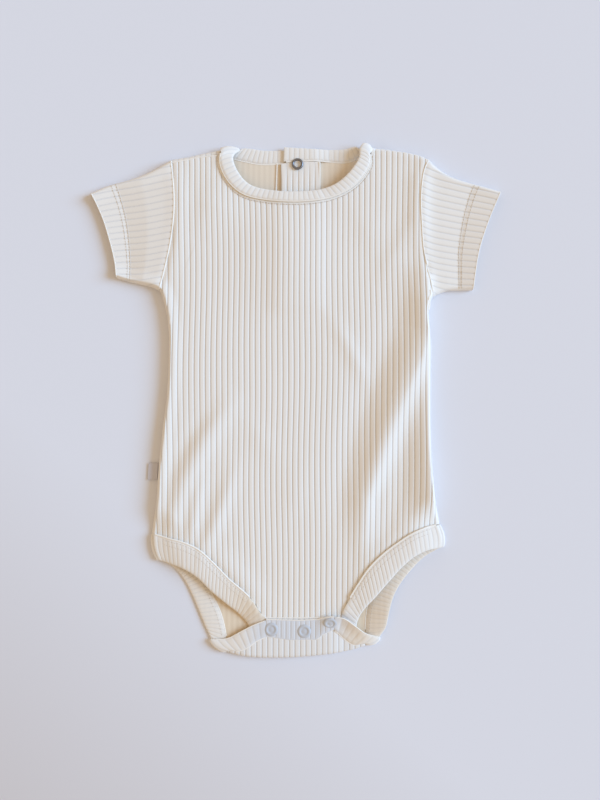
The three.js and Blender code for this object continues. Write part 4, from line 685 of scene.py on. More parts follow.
# %% The front panel
FRONT_ROWS, INNER_STEP = 145, 8  # the inner face has every eighth of the outer face's rows
columns = rib_columns(-118, 117.6, PITCH, RIB_START)
bottom, top = front_ends(columns, 0)
v = np.linspace(0, 1, FRONT_ROWS)[:, None]
y = mix(bottom, top, v)
x = front_x(columns + sway(columns, y), y, 0)
rib = rib_profile((x - sway(columns, y) - RIB_START) / PITCH)
edge = edge_distance(x, y)
at_armhole = np.minimum(nearest(ARMHOLE_LEFT_LINE, x, y)[0], nearest(ARMHOLE_RIGHT_LINE, x, y)[0])
z = outer_height(x, y) + RIB_RISE * rib * ease(edge, 0, 3) - seam_dip(at_armhole, edge)
upper = np.stack([x, y, z], -1)
bottom_in, top_in = front_ends(columns, CLOTH)
top_in = top_in - CLOTH * ease(front_x(columns, top_in, CLOTH), 63, 67)
y_in = mix(bottom_in, top_in, v[::INNER_STEP])
x_in = front_x(columns, y_in, CLOTH)
lower = np.stack([x_in, y_in, inner_height(x_in, y_in)], -1)
ribs, inside = rib_and_inside(rib, upper, lower)
front = put("front_cloth", *shell(upper, lower), knit, rib=ribs, inside=inside)
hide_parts("front_panel")

# %% [markdown]
# The back lies flat under everything, wrong side up, with the opening at its neck.
# Past the crotch it comes round a fold and lies on the front as the fastened flap.
# It is made in five parts that touch: below the opening, its two sides, the flap and a shoulder strip.

# %% The back panel's flat parts
NECK_BUTT = 0.7  # the cloth stops this far short of the neckband's seam
LEG_BUTT = 0.35
FLAP_BOTTOM, FLAP_TOP = 4.2, 5.4
FOLD_RADIUS = FLAP_TOP / 2
FLAP_HALF = 56  # half the flap's width at the fold


def slab(low_line, high_line, left, right, rows):
    """Flat cloth: columns from low_line(x) to high_line(x), held between left(y) and right(y)."""
    x_low, x_high = np.min(left(np.linspace(-210, 210, 400))), np.max(right(np.linspace(-210, 210, 400)))
    columns = np.linspace(x_low, x_high, int((x_high - x_low) / 2))
    y_low, y_high = np.full(len(columns), -100.0), np.full(len(columns), 150.0)
    for _ in range(8):
        y_low = low_line(np.clip(columns, left(y_low), right(y_low)))
        y_high = high_line(np.clip(columns, left(y_high), right(y_high)))
    y = mix(y_low, y_high, np.linspace(0, 1, rows)[:, None])
    x = np.clip(columns, left(y), right(y))
    upper = np.stack([x, y, np.full(x.shape, CLOTH)], -1)
    return upper, upper * [1, 1, 0]


def fold_y(x):
    """y of the garment's bottom fold."""
    return look_up(BOTTOM_FOLD_LINE, x)


def back_left(y):
    """x of the left leg's seam, and of the left side from the leg up."""
    leg = look_up(LEG_BACK_LEFT, y, 1, 0) + LEG_BUTT
    return np.where(y < LEG_BACK_LEFT[0][1], leg, side_x(SIDE_LEFT_LINE, ARMHOLE_LEFT_LINE, y))


def back_right(y):
    """x of the right leg's seam, and of the right side from the leg up."""
    leg = look_up(LEG_BACK_RIGHT, y, 1, 0) - LEG_BUTT
    return np.where(y < LEG_BACK_RIGHT[0][1], leg, side_x(SIDE_RIGHT_LINE, ARMHOLE_RIGHT_LINE, y))


def back_top(x):
    """y of the shoulders, and of the neck between them."""
    neck = look_up(BACK_NECK, x) - NECK_BUTT
    left, right = look_up(SHOULDER_LEFT, x), look_up(SHOULDER_RIGHT, x)
    return np.where(x < BACK_NECK[0][0], left, np.where(x > BACK_NECK[-1][0], right, neck))


def back_low(x):
    """y of the middle of the bottom fold, and far below the legs beside it."""
    return np.where(np.abs(x) < FLAP_HALF, fold_y(x) + FOLD_RADIUS, -200)


lower_part = slab(back_low, level(SLIT_LOW), back_left, back_right, 130)
left_part = slab(level(SLIT_LOW), back_top, back_left, level(SLIT_X - 0.1), 60)
right_part = slab(level(SLIT_LOW), back_top, level(SLIT_X), back_right, 60)
print("the back's flat parts", [part.shape[:2] for part, _ in (lower_part, left_part, right_part)])

# %% The flap that comes round the fold
FLAP_RIB_START = RIB_START + 1.2
flap_columns = rib_columns(-58.4, 58.6, PITCH, FLAP_RIB_START)
flap_rib = rib_profile((flap_columns - RIB_START - 1.2) / PITCH)
angles = np.linspace(0, np.pi, 13)


def flap_high(x):
    """The flap's upper face: it lies lower towards its two sides, and in a hollow on the right."""
    sides = 1.9 * ease(np.abs(x + 2), 36, 57) + ease(np.abs(x), 55, 58)
    return FLAP_TOP - sides - 1.3 * np.exp(-(((x - 39) / 7) ** 2))


def flap_top(x):
    """y where the flap ends: under the snap strip, and at the leg bands' seams beside it."""
    placket = look_up(PLACKET_LOW, x) + 0.2
    seam = np.where(x < 0, look_up(LEG_LEFT_FLAP[:, :2], x), look_up(LEG_RIGHT_FLAP[:, :2], x)) + 0.4
    return np.where((x > -27.4) & (x < 34), placket, np.maximum(seam, fold_y(x) + flap_high(x)))


def flap_grid(depth, raised):
    """Half a circle round the fold and then level, at a depth in the cloth and raised on the ribs."""
    x = flap_columns
    half = flap_high(x) / 2
    centre = fold_y(x) + half
    radius = half - depth + raised
    y_fold = centre - radius * np.sin(angles)[:, None]
    z_fold = half - radius * np.cos(angles)[:, None]
    part = np.linspace(0, 1, 7)[1:, None]
    y_flat = mix(centre, flap_top(x), part)
    z_flat = np.broadcast_to(flap_high(x) - depth + raised, y_flat.shape)
    y, z = np.concatenate([y_fold, y_flat]), np.concatenate([z_fold, z_flat])
    return np.stack([np.broadcast_to(x, y.shape), y, np.maximum(z, 0)], -1)


flap = flap_grid(0, RIB_RISE * 0.7 * flap_rib), flap_grid(CLOTH, 0 * flap_rib)
print("flap from", flap_columns[0], "to", flap_columns[-1])

# %% [markdown]
# The left shoulder of the back has rolled over to the front, so a strip of it shows above the front's edge.
# It rises from the surface round the shoulder's fold and ends under the front's top edge.

# %% The shoulder strip
STRIP_PARTS = np.linspace(0, 1, 9)[:, None] ** 1.6
strip_x = rib_columns(-100.9, -58.5, PITCH, RIB_START)
strip_rib = rib_profile((strip_x - RIB_START) / PITCH)
fold_line = look_up(SHOULDER_LEFT, strip_x) - 2.4 * ease(strip_x, -62, -58.5)
seam_line = np.maximum(look_up(FRONT_TOP, strip_x) + 0.4, 190)
width = fold_line - seam_line
into = width * STRIP_PARTS
high = ON_BACK + (LOFT - ON_BACK) * quarter(into / ROLL) + 0.5 * RIB_RISE * strip_rib * ease(into, 0, 3)
into_in = CLOTH + (width - CLOTH) * STRIP_PARTS
low = ON_BACK + (LOFT - CLOTH - ON_BACK) * quarter((into_in - CLOTH) / (ROLL - CLOTH))


def strip_face(start, into, high):
    """A face of the strip: a first row low at the fold, and then the rows further in from it."""
    y = np.concatenate([[start], fold_line - into])
    z = np.concatenate([[strip_x * 0 + 0.4], high])
    return np.stack([np.broadcast_to(strip_x, y.shape), y, z], -1)[::-1]


shoulder_strip = strip_face(fold_line, into, high), strip_face(fold_line - CLOTH, into_in, low)
print("shoulder strip", round(width.max(), 1), "mm wide")

# %% The back panel
grids = (lower_part, left_part, right_part, flap, shoulder_strip)
parts = [shell(*pair) for pair in grids]
ribs = [rib_and_inside(rib, *pair)[0] for rib, pair in zip((1, 1, 1, flap_rib, strip_rib), grids)]
# the flat parts lie wrong side up under painted warm shade, less of it beside the opening; the other two
# show their right side and take it only on their lower face
inside = [np.repeat(shares, len(part[0]) // 2)
          for shares, part in zip(([1, 0], [0.75, 0], [0.75, 0], [0, 1], [0, 1]), parts)]
points, faces = stacked(*parts)
# painted cool shade on the flap's cloth below the snaps
cool = 0.3 * ((points[:, 1] < -170) & (points[:, 2] > 2))
back_values = {"rib": np.concatenate(ribs), "inside": np.concatenate(inside), "cool": cool}
back = put("back_cloth", points, faces, knit, **back_values)
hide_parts("back_panel")

# %% [markdown]
# A short sleeve lies as a flat tube: the upper cloth rolls over at the top and under the arm.
# Its ribs run from the armhole to the hem and fan out a little.
# It is a sheet stretched between four lines, so that it follows the armhole as well as the cuff.

# %% Between a sleeve's four edges
SLEEVE_PITCH = 4.8
HEM_RISE, HEM_DEPTH = 0.12, 16
ARMHOLE_GAP = 0.5
SLEEVES = {
    "left": {"armhole": ARMHOLE_LEFT, "top": SLEEVE_TOP_LEFT, "low": SLEEVE_LOW_LEFT, "cuff": CUFF_LEFT,
             "outward": -1, "leans": [0.6, -0.6, -2.9, -2.8, -1.7]},
    "right": {"armhole": ARMHOLE_RIGHT, "top": SLEEVE_TOP_RIGHT, "low": SLEEVE_LOW_RIGHT,
              "cuff": CUFF_RIGHT, "outward": 1, "leans": [0.2, -0.9, -1.9, -1.7, 0.1]},
}


def sleeve_place(sleeve, s, q):
    """A Coons patch of the four edges: s goes from armhole to cuff, q from the lower to the top edge."""
    armhole, top, low, cuff = (sleeve[key] for key in ("armhole", "top", "low", "cuff"))
    s, q = np.broadcast_arrays(s, q)
    a, c = by_length(armhole, q), by_length(cuff, q)
    b, t = by_length(low, s), by_length(top, s)
    s, q = s[..., None], q[..., None]
    a0, a1, c0, c1 = (np.array(p, float) for p in (armhole[0], armhole[-1], cuff[0], cuff[-1]))
    corners = (1 - s) * (1 - q) * a0 + (1 - s) * q * a1 + s * (1 - q) * c0 + s * q * c1
    place = (1 - s) * a + s * c + (1 - q) * b + q * t - corners
    between_corners = ease(q, 0, 0.08) * (1 - ease(q, 0.92, 1))
    return place + np.array([sleeve["outward"] * ARMHOLE_GAP, 0]) * (1 - s) * between_corners


def hem_share(sleeve, depth=HEM_DEPTH):
    """s at a depth in from the cuff: 1 less the depth's share of the mean length of the two edges."""
    length = 0.5 * (length_of(dense(sleeve["top"], 40)) + length_of(dense(sleeve["low"], 40)))
    return 1 - depth / length


def sleeve_lean(sleeve, s):
    """How much higher than the front's cloth the sleeve lies at s."""
    hem = hem_share(sleeve)
    return np.interp(s, [0, 0.4, hem, hem + 0.03, 1], sleeve["leans"])

# %% A sleeve's outer and inner face
LOW_Q = np.array([0.994, 0.98, 0.9, 0.7, 0.5, 0.3, 0.1, 0.02, 0.006])  # the columns of the lower side
SLEEVE_INNER_STEP = 4
SLEEVE_RIB = 0.8  # the ribs are stretched flatter on a sleeve
SLEEVE_GROOVE_SHADE = 0.75  # and their grooves take less of the painted shade


def sleeve_ribs(sleeve, s):
    """The columns of the upper side at every s, and the ribs' profile there."""
    ends = sleeve_place(sleeve, s, np.array([[0.0, 1.0]]))
    across = np.linalg.norm(ends[:, 1] - ends[:, 0], axis=-1)[:, None]
    reach = across.max() / 2 / SLEEVE_PITCH + 1
    pitch = mix(SLEEVE_PITCH * 1.1, SLEEVE_PITCH, s)
    q = np.clip(0.5 + rib_columns(-reach, reach, 1) * pitch / across, 0, 1)
    return q, rib_profile((q - 0.5) * across / pitch), CLOTH / across


def sleeve_outer(sleeve, s, q, rib, lean):
    """The upper side on the front's form, leaning and ribbed, and then the lower side on the surface."""
    xy = sleeve_place(sleeve, s, q)
    x, y = xy[..., 0], xy[..., 1]
    edge = edge_distance(x, y)
    dip = seam_dip(nearest(dense(sleeve["armhole"], 30), x, y)[0], edge)
    z = outer_height(x, y) + (lean + RIB_RISE * SLEEVE_RIB * rib) * ease(edge, 0, 4) - dip
    low_xy = sleeve_place(sleeve, s, LOW_Q)
    low_z = ON_BACK * (1 - quarter(edge_distance(low_xy[..., 0], low_xy[..., 1]) / ON_BACK))
    return np.concatenate([np.stack([x, y, z], -1), np.concatenate([low_xy, low_z[..., None]], -1)], 1)


def sleeve_inner(sleeve, s, q, share, lean):
    """The same two sides a cloth's thickness further in; share is that thickness as a part of the width."""
    xy = sleeve_place(sleeve, s, share + (1 - 2 * share) * q)
    z = inner_height(xy[..., 0], xy[..., 1]) + lean * ease(edge_distance(xy[..., 0], xy[..., 1]), 0, 4)
    z = np.maximum(z, CLOTH + 0.25)
    low_xy = sleeve_place(sleeve, s, share + (1 - 2 * share) * LOW_Q)
    low_z = np.full(low_xy.shape[:2], CLOTH)
    return np.concatenate([np.concatenate([xy, z[..., None]], -1),
                           np.concatenate([low_xy, low_z[..., None]], -1)], 1)

# %% The sleeves
for side, sleeve in SLEEVES.items():
    hem = hem_share(sleeve)
    stations = np.concatenate([np.linspace(0, hem, 26), [hem + 0.012], np.linspace(hem + 0.03, 1, 10)])
    s = stations[:, None]
    q, rib, share = sleeve_ribs(sleeve, s)
    lean = (HEM_RISE * ease(stations, hem, hem + 0.012) + sleeve_lean(sleeve, stations))[:, None]
    outer = sleeve_outer(sleeve, s, q, rib, lean)
    some = slice(None, None, SLEEVE_INNER_STEP)
    inner = sleeve_inner(sleeve, s[some], q[some], share[some], lean[some])
    points, faces = shell(outer, inner, wrap=True)
    if sleeve["outward"] < 0:
        faces = faces[:, ::-1]
    rib = np.concatenate([rib, np.ones((len(s), len(LOW_Q)))], 1)
    ribs, inside = rib_and_inside(rib, outer, inner)
    ribs = 1 - SLEEVE_GROOVE_SHADE * (1 - ribs)
    piece = put(f"sleeve_{side}_cloth", points, faces, knit, smooth_to=75, rib=ribs, inside=inside)
    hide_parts(f"sleeve_{side}")

# %% [markdown]
# A band is a strip folded double, so its free edge is round and its ribs show on both sides.
# It goes round the neck or a leg in one piece: over the front, round a fold and along the back.
# Each stretch becomes a run, which holds the two edges, the side that faces up and the ribs at every
# station along it. A half turn joins two runs, as a strip of paper is turned over at a fold.

# %% A run of band
BAND_CLEAR = 0.65  # from the front's upper face to the band's underside
BAND_PITCH, BAND_RIB = 4.3, 0.26
BAND_OFFSETS = np.array([0, 0.12, 0.25, 0.5, 0.75, 0.88])
BACK_BAND_TOP = BAND + 0.4 + 0.3


def flat_run(rows, face, heights):
    """A band's run on one side: seam points, free points, faces and rib phases at every station."""
    seam_rows, free_rows = rows[:, :2], rows[:, 2:4]
    count = round(length_of(spline(seam_rows, np.linspace(0, 1, 201))) / BAND_PITCH)
    phase = np.append((np.arange(count)[:, None] + BAND_OFFSETS).ravel(), count)
    steps = np.linspace(0, 1, 401)
    way = way_along(spline(seam_rows, steps) + spline(free_rows, steps))
    part = np.interp(phase / count * way[-1], way, steps)
    seam, free = spline(seam_rows, part), spline(free_rows, part)
    seam_z, free_z = heights(seam, part * (len(rows) - 1))
    return {
        "seam": np.column_stack([seam, seam_z + BAND / 2]),
        "free": np.column_stack([free, free_z + BAND / 2]),
        "face": np.tile([0.0, 0.0, face], (len(part), 1)),
        "phase": phase,
        "bow": np.zeros((len(part), 3)),
    }


def table_heights(rows, on_front=False):
    """Heights from the table; on_front lets the seam ride on the front's cloth, above the crotch."""
    def heights(seam, index):
        seam_z, free_z = (np.interp(index, np.arange(len(rows)), rows[:, k]) for k in (4, 5))
        if not on_front:
            return seam_z, free_z
        over = outer_height(seam[:, 0], seam[:, 1]) + BAND_CLEAR
        seam_z = mix(seam_z, over, ease(seam[:, 1], -179, -168))
        return seam_z, np.minimum(free_z, seam_z + 0.9)
    return heights


def neck_heights(seam, index):
    """The neckband's front rides on the cloth: up on the right, and low at the left fold."""
    low = BACK_BAND_TOP + 0.1
    stands = ease(seam[:, 0], 15, 55)
    seam_z = np.maximum(outer_height(seam[:, 0], seam[:, 1]) + BAND_CLEAR, low) + 0.8 * stands
    free_z = mix(low, seam_z - 1 + 2.2 * stands, ease(index, -0.3, 1.8))
    return seam_z, np.maximum(free_z, low)


def turned(run):
    """The run the other way round."""
    return {key: value[::-1] for key, value in run.items()}

# %% The half turn at a fold
TURN_STATIONS = 6
REACH = 16  # how far before a fold a run starts to draw in
BOW = 1.6  # how far the middle of a fold stands out from the line between its ends


def half_turn(before, after, outward):
    """Half a circle round the line that two runs share: up by the cosine, outward by the sine."""
    angle = np.linspace(0, np.pi, TURN_STATIONS + 2)[1:-1, None]
    start = {key: before[key][-1] for key in ("seam", "free", "face")}
    end = {key: after[key][0] for key in ("seam", "free")}
    made = {}
    for key in ("seam", "free"):
        centre = (start[key] + end[key]) / 2
        radius = abs(start[key][2] - end[key][2]) / 2
        up = 1 if start[key][2] > end[key][2] else -1
        upright = np.array([0, 0, up * radius])
        made[key] = centre + upright * np.cos(angle) + outward * radius * np.sin(angle)
    up = 1 if start["seam"][2] > end["seam"][2] else -1
    made["face"] = start["face"] * np.cos(angle) + outward * np.sin(angle) * up * start["face"][2]
    made["phase"] = np.linspace(0, 1, TURN_STATIONS + 2)[1:-1]
    made["bow"] = np.tile(before["bow"][-1], (len(angle), 1))
    return made


def drawn_in(run, at_start, outward, amount, bow, reach):
    """Pulls a run's end inwards, so that the fold that follows stays within the outline."""
    way = way_along((run["seam"] + run["free"]) / 2)
    pull = amount * (1 - ease(way if at_start else way[-1] - way, 0, reach))[:, None] * outward
    moved = {key: run[key] - pull for key in ("seam", "free")}
    return {**run, **moved, "bow": run["bow"] + bow / amount * pull}


def joined_by_turn(before, after, outward, bow=BOW, reaches=(REACH, REACH)):
    """Two runs with the half turn between them, held within the outline."""
    radius = abs(before["free"][-1][2] - after["free"][0][2]) / 2 + BAND / 2 - 0.6
    before = drawn_in(before, False, outward, radius, bow, reaches[0])
    after = drawn_in(after, True, outward, radius, bow, reaches[1])
    return before, half_turn(before, after, outward), after


def away_from(run, sign):
    """The level direction square to the run's first line from seam to free edge."""
    along = run["free"][0] - run["seam"][0]
    along = along * [1, 1, 0]
    along = along / np.linalg.norm(along)
    return np.array([-along[1] * sign, along[0] * sign, 0])

# %% The band's section
# each point: share of the way from seam to free edge, share of half the thickness, share of the rib
UPPER_SECTION = [(0.04, 1, 0.6), (0.2, 1, 1), (0.4, 1, 1), (0.6, 1, 1), (0.8, 1, 1), (0.93, 0.95, 0.8),
                 (0.985, 0.6, 0.5)]
SECTION = np.array([(0, -0.8, 0), *((share, -thick, rib) for share, thick, rib in UPPER_SECTION), (1, 0, 0),
                    *UPPER_SECTION[::-1], (0, 0.8, 0)])


def band_shell(runs):
    """The band's points, triangles and rib values: the section at every station, ribbed on top."""
    keys = ("seam", "free", "face", "phase", "bow")
    seam, free, face, phase, bow = (np.concatenate([run[key] for run in runs]) for key in keys)
    rib = rib_profile(phase)[:, None]
    share, thick, ribbed = SECTION.T
    upper_side = np.where(face[:, 2:3] > 0, thick > 0, thick < 0)
    rise = BAND_RIB * rib * ribbed * np.sign(thick) * upper_side
    swell = 0.25 * np.sin(np.pi * np.clip(share, 0, 1)) * np.sign(thick) * upper_side
    offset = BAND / 2 * thick + rise + swell
    points = seam[:, None] + (free - seam)[:, None] * share[:, None] + face[:, None] * offset[..., None]
    points = points + bow[:, None] * np.sin(np.pi * share)[:, None]
    count, around = points.shape[:2]
    values = np.where(np.abs(ribbed) > 0.3, rib, 1.0)
    return points.reshape(-1, 3), tube_faces(count, around), values.ravel()

# %% The neckband
neck_left = flat_run(NECK_BACK_LEFT, -1, table_heights(NECK_BACK_LEFT))
neck_front = flat_run(NECK_FRONT, 1, neck_heights)
neck_right = flat_run(NECK_BACK_RIGHT, -1, table_heights(NECK_BACK_RIGHT))
outward = away_from(neck_front, 1)
neck_left, left_turn, neck_front = joined_by_turn(neck_left, neck_front, outward, 1.5, (5, 14))
outward = away_from(neck_right, -1)
neck_front, right_turn, neck_right = joined_by_turn(neck_front, neck_right, outward, BOW, (REACH, 7))
points, faces, values = band_shell([neck_left, left_turn, neck_front, right_turn, neck_right])
neckband = put("neckband_cloth", points, outwards(points, faces), band_knit, rib=values)
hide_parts("neckband")

# %% [markdown]
# A leg band starts at the front's crotch corner, follows the leg's front half up to the side, turns round
# the fold there, comes back along the back's leg edge, turns again at the bottom and ends on the flap.
# Some stretches lie in shade that a small light can't give, so painted warm shade is mixed into them, by
# the shares front_end, back and flap.

# %% The leg bands
LEGS = {
    "left": {"tables": (LEG_LEFT_FRONT, LEG_LEFT_BACK, LEG_LEFT_FLAP), "sign": -1, "sag": 0.3,
             "front_end": 0.75, "back": 0.2, "flap": 0},
    "right": {"tables": (LEG_RIGHT_FRONT, LEG_RIGHT_BACK, LEG_RIGHT_FLAP), "sign": 1, "sag": 1.5,
              "front_end": 0, "back": 0.5, "flap": 0.6},
}


def steps_of(run):
    """From 0 to 1 along the run's stations."""
    return np.linspace(0, 1, len(run["phase"]))


leg_bands, leg_runs = [], []
for side, leg in LEGS.items():
    over, under, on_flap = leg["tables"]
    front_run = turned(flat_run(over, 1, table_heights(over, True)))
    back_run = flat_run(under, -1, table_heights(under))
    flap_run = flat_run(on_flap, 1, table_heights(on_flap))
    outward = away_from(back_run, leg["sign"])
    front_run, side_turn, back_run = joined_by_turn(front_run, back_run, outward)
    outward = away_from(flap_run, -leg["sign"])
    back_run, fold_turn, flap_run = joined_by_turn(back_run, flap_run, outward)
    along = steps_of(flap_run)[:, None]
    hanging = ease(along, 0.15, 0.5) * (1 - ease(along, 0.8, 1))
    flap_run["bow"] = flap_run["bow"] - [0, 0, leg["sag"]] * hanging
    leg_runs.append((front_run, back_run, flap_run))
    points, faces, values = band_shell([front_run, side_turn, back_run, fold_turn, flap_run])
    # painted cool shade on the band beside the crotch snaps
    cool_shade_by_snaps = (1 - ease(np.abs(points[:, 0] - 3), 27, 52)) * (points[:, 1] < -174) * (points[:, 2] > 3.2)
    shaded = np.concatenate([
        leg["front_end"] * (1 - ease(steps_of(front_run), 0.08, 0.5)), 0 * steps_of(side_turn),
        leg["back"] + 0 * steps_of(back_run), 0 * steps_of(fold_turn),
        leg["flap"] * np.sin(np.pi * steps_of(flap_run))])
    shaded = np.repeat(shaded, len(SECTION))
    faces = outwards(points, faces)
    leg_values = {"rib": values, "cool": cool_shade_by_snaps, "inside": shaded}
    piece = put(f"leg_band_{side}_cloth", points, faces, band_knit, **leg_values)
    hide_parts(f"leg_band_{side}")
    leg_bands.append(piece)

# %% [markdown]
# Facing strips stiffen the openings: two at the back of the neck, and two at the crotch with the snaps.
# Each is a plain strip between two lines, so one function makes all four from their sizes.

# %% A facing strip
def strip_shell(left, right, low, high, bottom, thick, pitch=0, rise=0, tilt=0.0):
    """Cloth from low(x) to high(x) on bottom(x), ribbed on top and tilted at its right end."""
    x = rib_columns(left, right, pitch, left) if rise else np.linspace(left, right, 24)
    part = np.linspace(0, 1, 9)[:, None]
    y = mix(low(x), high(x), part)
    rib = rib_profile((x - left) / pitch) if rise else np.ones(len(x))
    under = bottom(x) + tilt * ease(x, 16, 30) * part
    z = under + thick + rise * rib * ease(part, 0, 0.04) * (1 - ease(part, 0.96, 1))
    upper = np.stack([np.broadcast_to(x, y.shape), y, z], -1)
    lower = np.stack([np.broadcast_to(x, y.shape), y, under], -1)
    return *shell(upper, lower), rib_and_inside(rib, upper, lower)[0]

# %% The four facing strips
SNAP_STRIP_TILT = 2.6
strip_top = lambda x: look_up(BACK_NECK, x) - NECK_BUTT - 0.4
placket_bottom = lambda x: FLAP_BOTTOM + 0.2 + 0.5 * ease(x, 15, 24)
STRIPS = {
    ("back_facing_left", "back_placket_left"): dict(
        left=SLIT_X + 0.6, right=SLIT_X + STRIP_WIDTH - 1, low=level(SLIT_LOW + 1),
        high=lambda x: strip_top(x) - 3, bottom=level(1.3), thick=0.9),
    ("back_facing_right", "back_placket_right"): dict(
        left=SLIT_X, right=SLIT_X + STRIP_WIDTH, low=level(SLIT_LOW), high=strip_top, bottom=level(2.3),
        thick=1.1, pitch=STRIP_WIDTH / 7, rise=0.5),
    ("crotch_facing_front", "crotch_placket_front"): dict(
        left=-20, right=33, low=level(-194), high=level(-179.8), bottom=level(ON_BACK), thick=CLOTH),
    ("crotch_facing_back", "crotch_placket_back"): dict(
        left=-24.4, right=31, low=lambda x: look_up(PLACKET_LOW, x),
        high=lambda x: look_up(PLACKET_HIGH, x) + 0.7, bottom=placket_bottom, thick=BAND, pitch=4, rise=0.3,
        tilt=SNAP_STRIP_TILT),
}
# the back's snap strip takes the painted cool shade in full
for (name, node), sizes in STRIPS.items():
    points, faces, values = strip_shell(**sizes)
    piece = put(name, points, faces, band_knit, rib=values, cool=float(name == "crotch_facing_back"))
    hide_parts(node)

# %% [markdown]
# A seam shows as a thin raised line where the turned edges lie under the cloth, and stitching as rows
# of thread. Both are narrow tubes along the seam lines, and a stitch dips into the cloth at both its ends.

# %% Tubes and stitches
def tube(path, wide, high, sides=6):
    """An ellipse carried along a path, wide and high in millimetres: one value, or one for each point."""
    path = np.asarray(path, float)
    along = np.gradient(path, axis=0)
    side = np.stack([along[:, 1], -along[:, 0], 0 * along[:, 0]], -1)
    side /= np.linalg.norm(side, axis=1)[:, None]
    turn = np.linspace(0, 2 * np.pi, sides, endpoint=False)
    wide, high = np.broadcast_to(wide, len(path)), np.broadcast_to(high, len(path))
    points = (path[:, None] + side[:, None] * (np.cos(turn)[None, :, None] * wide[:, None, None] / 2)
              + np.array([0, 0, 1.0]) * (np.sin(turn)[None, :, None] * high[:, None, None] / 2))
    points = points.reshape(-1, 3)
    return points, outwards(points, tube_faces(len(path), sides))


def stitched(path, pitch=2.4, wide=0.5, high=0.42):
    """A row of stitches along a path: the thread rises from the cloth and dips back once a pitch."""
    path = np.asarray(path, float)
    way = way_along(path)
    count = max(1, int(way[-1] / pitch))
    place = np.linspace(0, count, 5 * count + 1)
    points = np.stack([np.interp(place / count * way[-1], way, path[:, k]) for k in range(3)], -1)
    arch = np.abs(np.sin(np.pi * place)) ** 0.5
    points[:, 2] += high * (arch - 0.75)
    return tube(points, wide * (0.45 + 0.55 * arch), high * (0.5 + 0.5 * arch), 5)


def on_front(line, lift):
    """A line's points on the front's ribs."""
    line = np.asarray(line, float)
    return np.column_stack([line, outer_height(line[:, 0], line[:, 1]) + lift])


def on_band(run, share, lift, keep=slice(None)):
    """A line along a band's run, at a share of the way from the seam to the free edge."""
    place = run["seam"] + (run["free"] - run["seam"]) * share
    place = place + np.abs(run["face"]) * (BAND / 2 + lift)
    return place[keep][::3]


def offset(line, distance):
    """The line moved sideways, to the right of its way."""
    line = np.asarray(line, float)
    along = np.gradient(line, axis=0)
    side = np.stack([along[:, 1], -along[:, 0]], -1)
    return line + side / np.linalg.norm(side, axis=1)[:, None] * distance


def made_of(name, parts, material):
    """One piece of several tubes."""
    piece = put(name, *stacked(*parts), material, rib=1.0, inside=0.0)
    return piece

# %% Seams of the armholes, the shoulder and the neck
left_seam = on_front(offset(dense(ARMHOLE_LEFT, 60), -0.3)[1:-1], 0.25)
right_seam = on_front(offset(dense(ARMHOLE_RIGHT, 60), 0.3)[1:-1], 0.1)
tuft = on_front([(108.6, 89), (108.6, 85), (107.0, 81.5), (107.6, 77.5), (106.9, 73)], 0.3)
tuft = spline(tuft, np.linspace(0, 1, 25))  # where the cloth bunches under the arm
parts = [tube(left_seam, 1.2, 1.1), tube(right_seam, 0.9, 0.9), tube(tuft, 2.2, 1.3)]
made_of("armhole_seams", parts, seam_cloth)
shoulder_x = np.linspace(-100, -63.8, 40)
shoulder_line = on_front(np.column_stack([shoulder_x, look_up(FRONT_TOP, shoulder_x) + 0.2]), 0.3)
made_of("shoulder_seam", [tube(shoulder_line, 1.0, 0.9)], seam_cloth)
neck_seam = on_band(neck_front, -0.04, -0.7)
neck_out = on_front(offset(neck_seam[:, :2], 1.1), 0.35)
made_of("neck_seam", [tube(neck_seam, 1.3, 1.2), tube(neck_out, 1.5, 0.9)], seam_cloth)
left_back = on_band(neck_left, -0.05, -0.45, slice(30, -6))
right_back = on_band(neck_right, -0.05, -0.45, slice(6, -2))
slit_left = [(SLIT_X - in_by, y, 1.5) for in_by, y in ((3.4, 193.2), (3.9, 180), (4.4, 168), (4.6, 150))]
slit_right = [(SLIT_X + STRIP_WIDTH - 0.6, y, 3.5) for y in (194, 180, 165, 150)]
opening = [tube(line, 1.3, 1.0) for line in (left_back, right_back, slit_left, slit_right)]
made_of("back_neck_seam", opening, seam_cloth)

# %% Seams of the crotch and the legs
hem_x = np.linspace(-25.5, 36, 60)
hem_line = on_front(np.column_stack([hem_x, np.maximum(front_bottom(hem_x) + 1.2, -177.6)]), 0.55)
x = np.linspace(-24, 30.6, 60)
low_edge = np.column_stack([x, look_up(PLACKET_LOW, x) + 0.1, 5.6 + 0.4 * ease(x, 15, 24)])
high_z = placket_bottom(x) + BAND + SNAP_STRIP_TILT * ease(x, 16, 30)
high_edge = np.column_stack([x, look_up(PLACKET_HIGH, x) + 0.5, high_z])
parts = [tube(hem_line, 1.1, 0.9), tube(low_edge, 1.0, 0.8), tube(high_edge, 0.9, 0.7)]
made_of("crotch_seams", parts, seam_cloth)
for side, (front_run, back_run, flap_run) in zip(LEGS, leg_runs):
    parts = [tube(on_band(front_run, -0.03, -0.3, slice(36, -3)), 1.5, 1.3),
             tube(on_band(back_run, -0.02, -0.5, slice(14, -14)), 1.3, 1.0),
             tube(on_band(flap_run, -0.02, -0.6, slice(10, None)), 1.2, 1.0),
             tube(on_band(flap_run, 0.97, -0.25, slice(4, None)), 0.9, 0.8)]
    made_of(f"leg_seam_{side}", parts, seam_cloth)

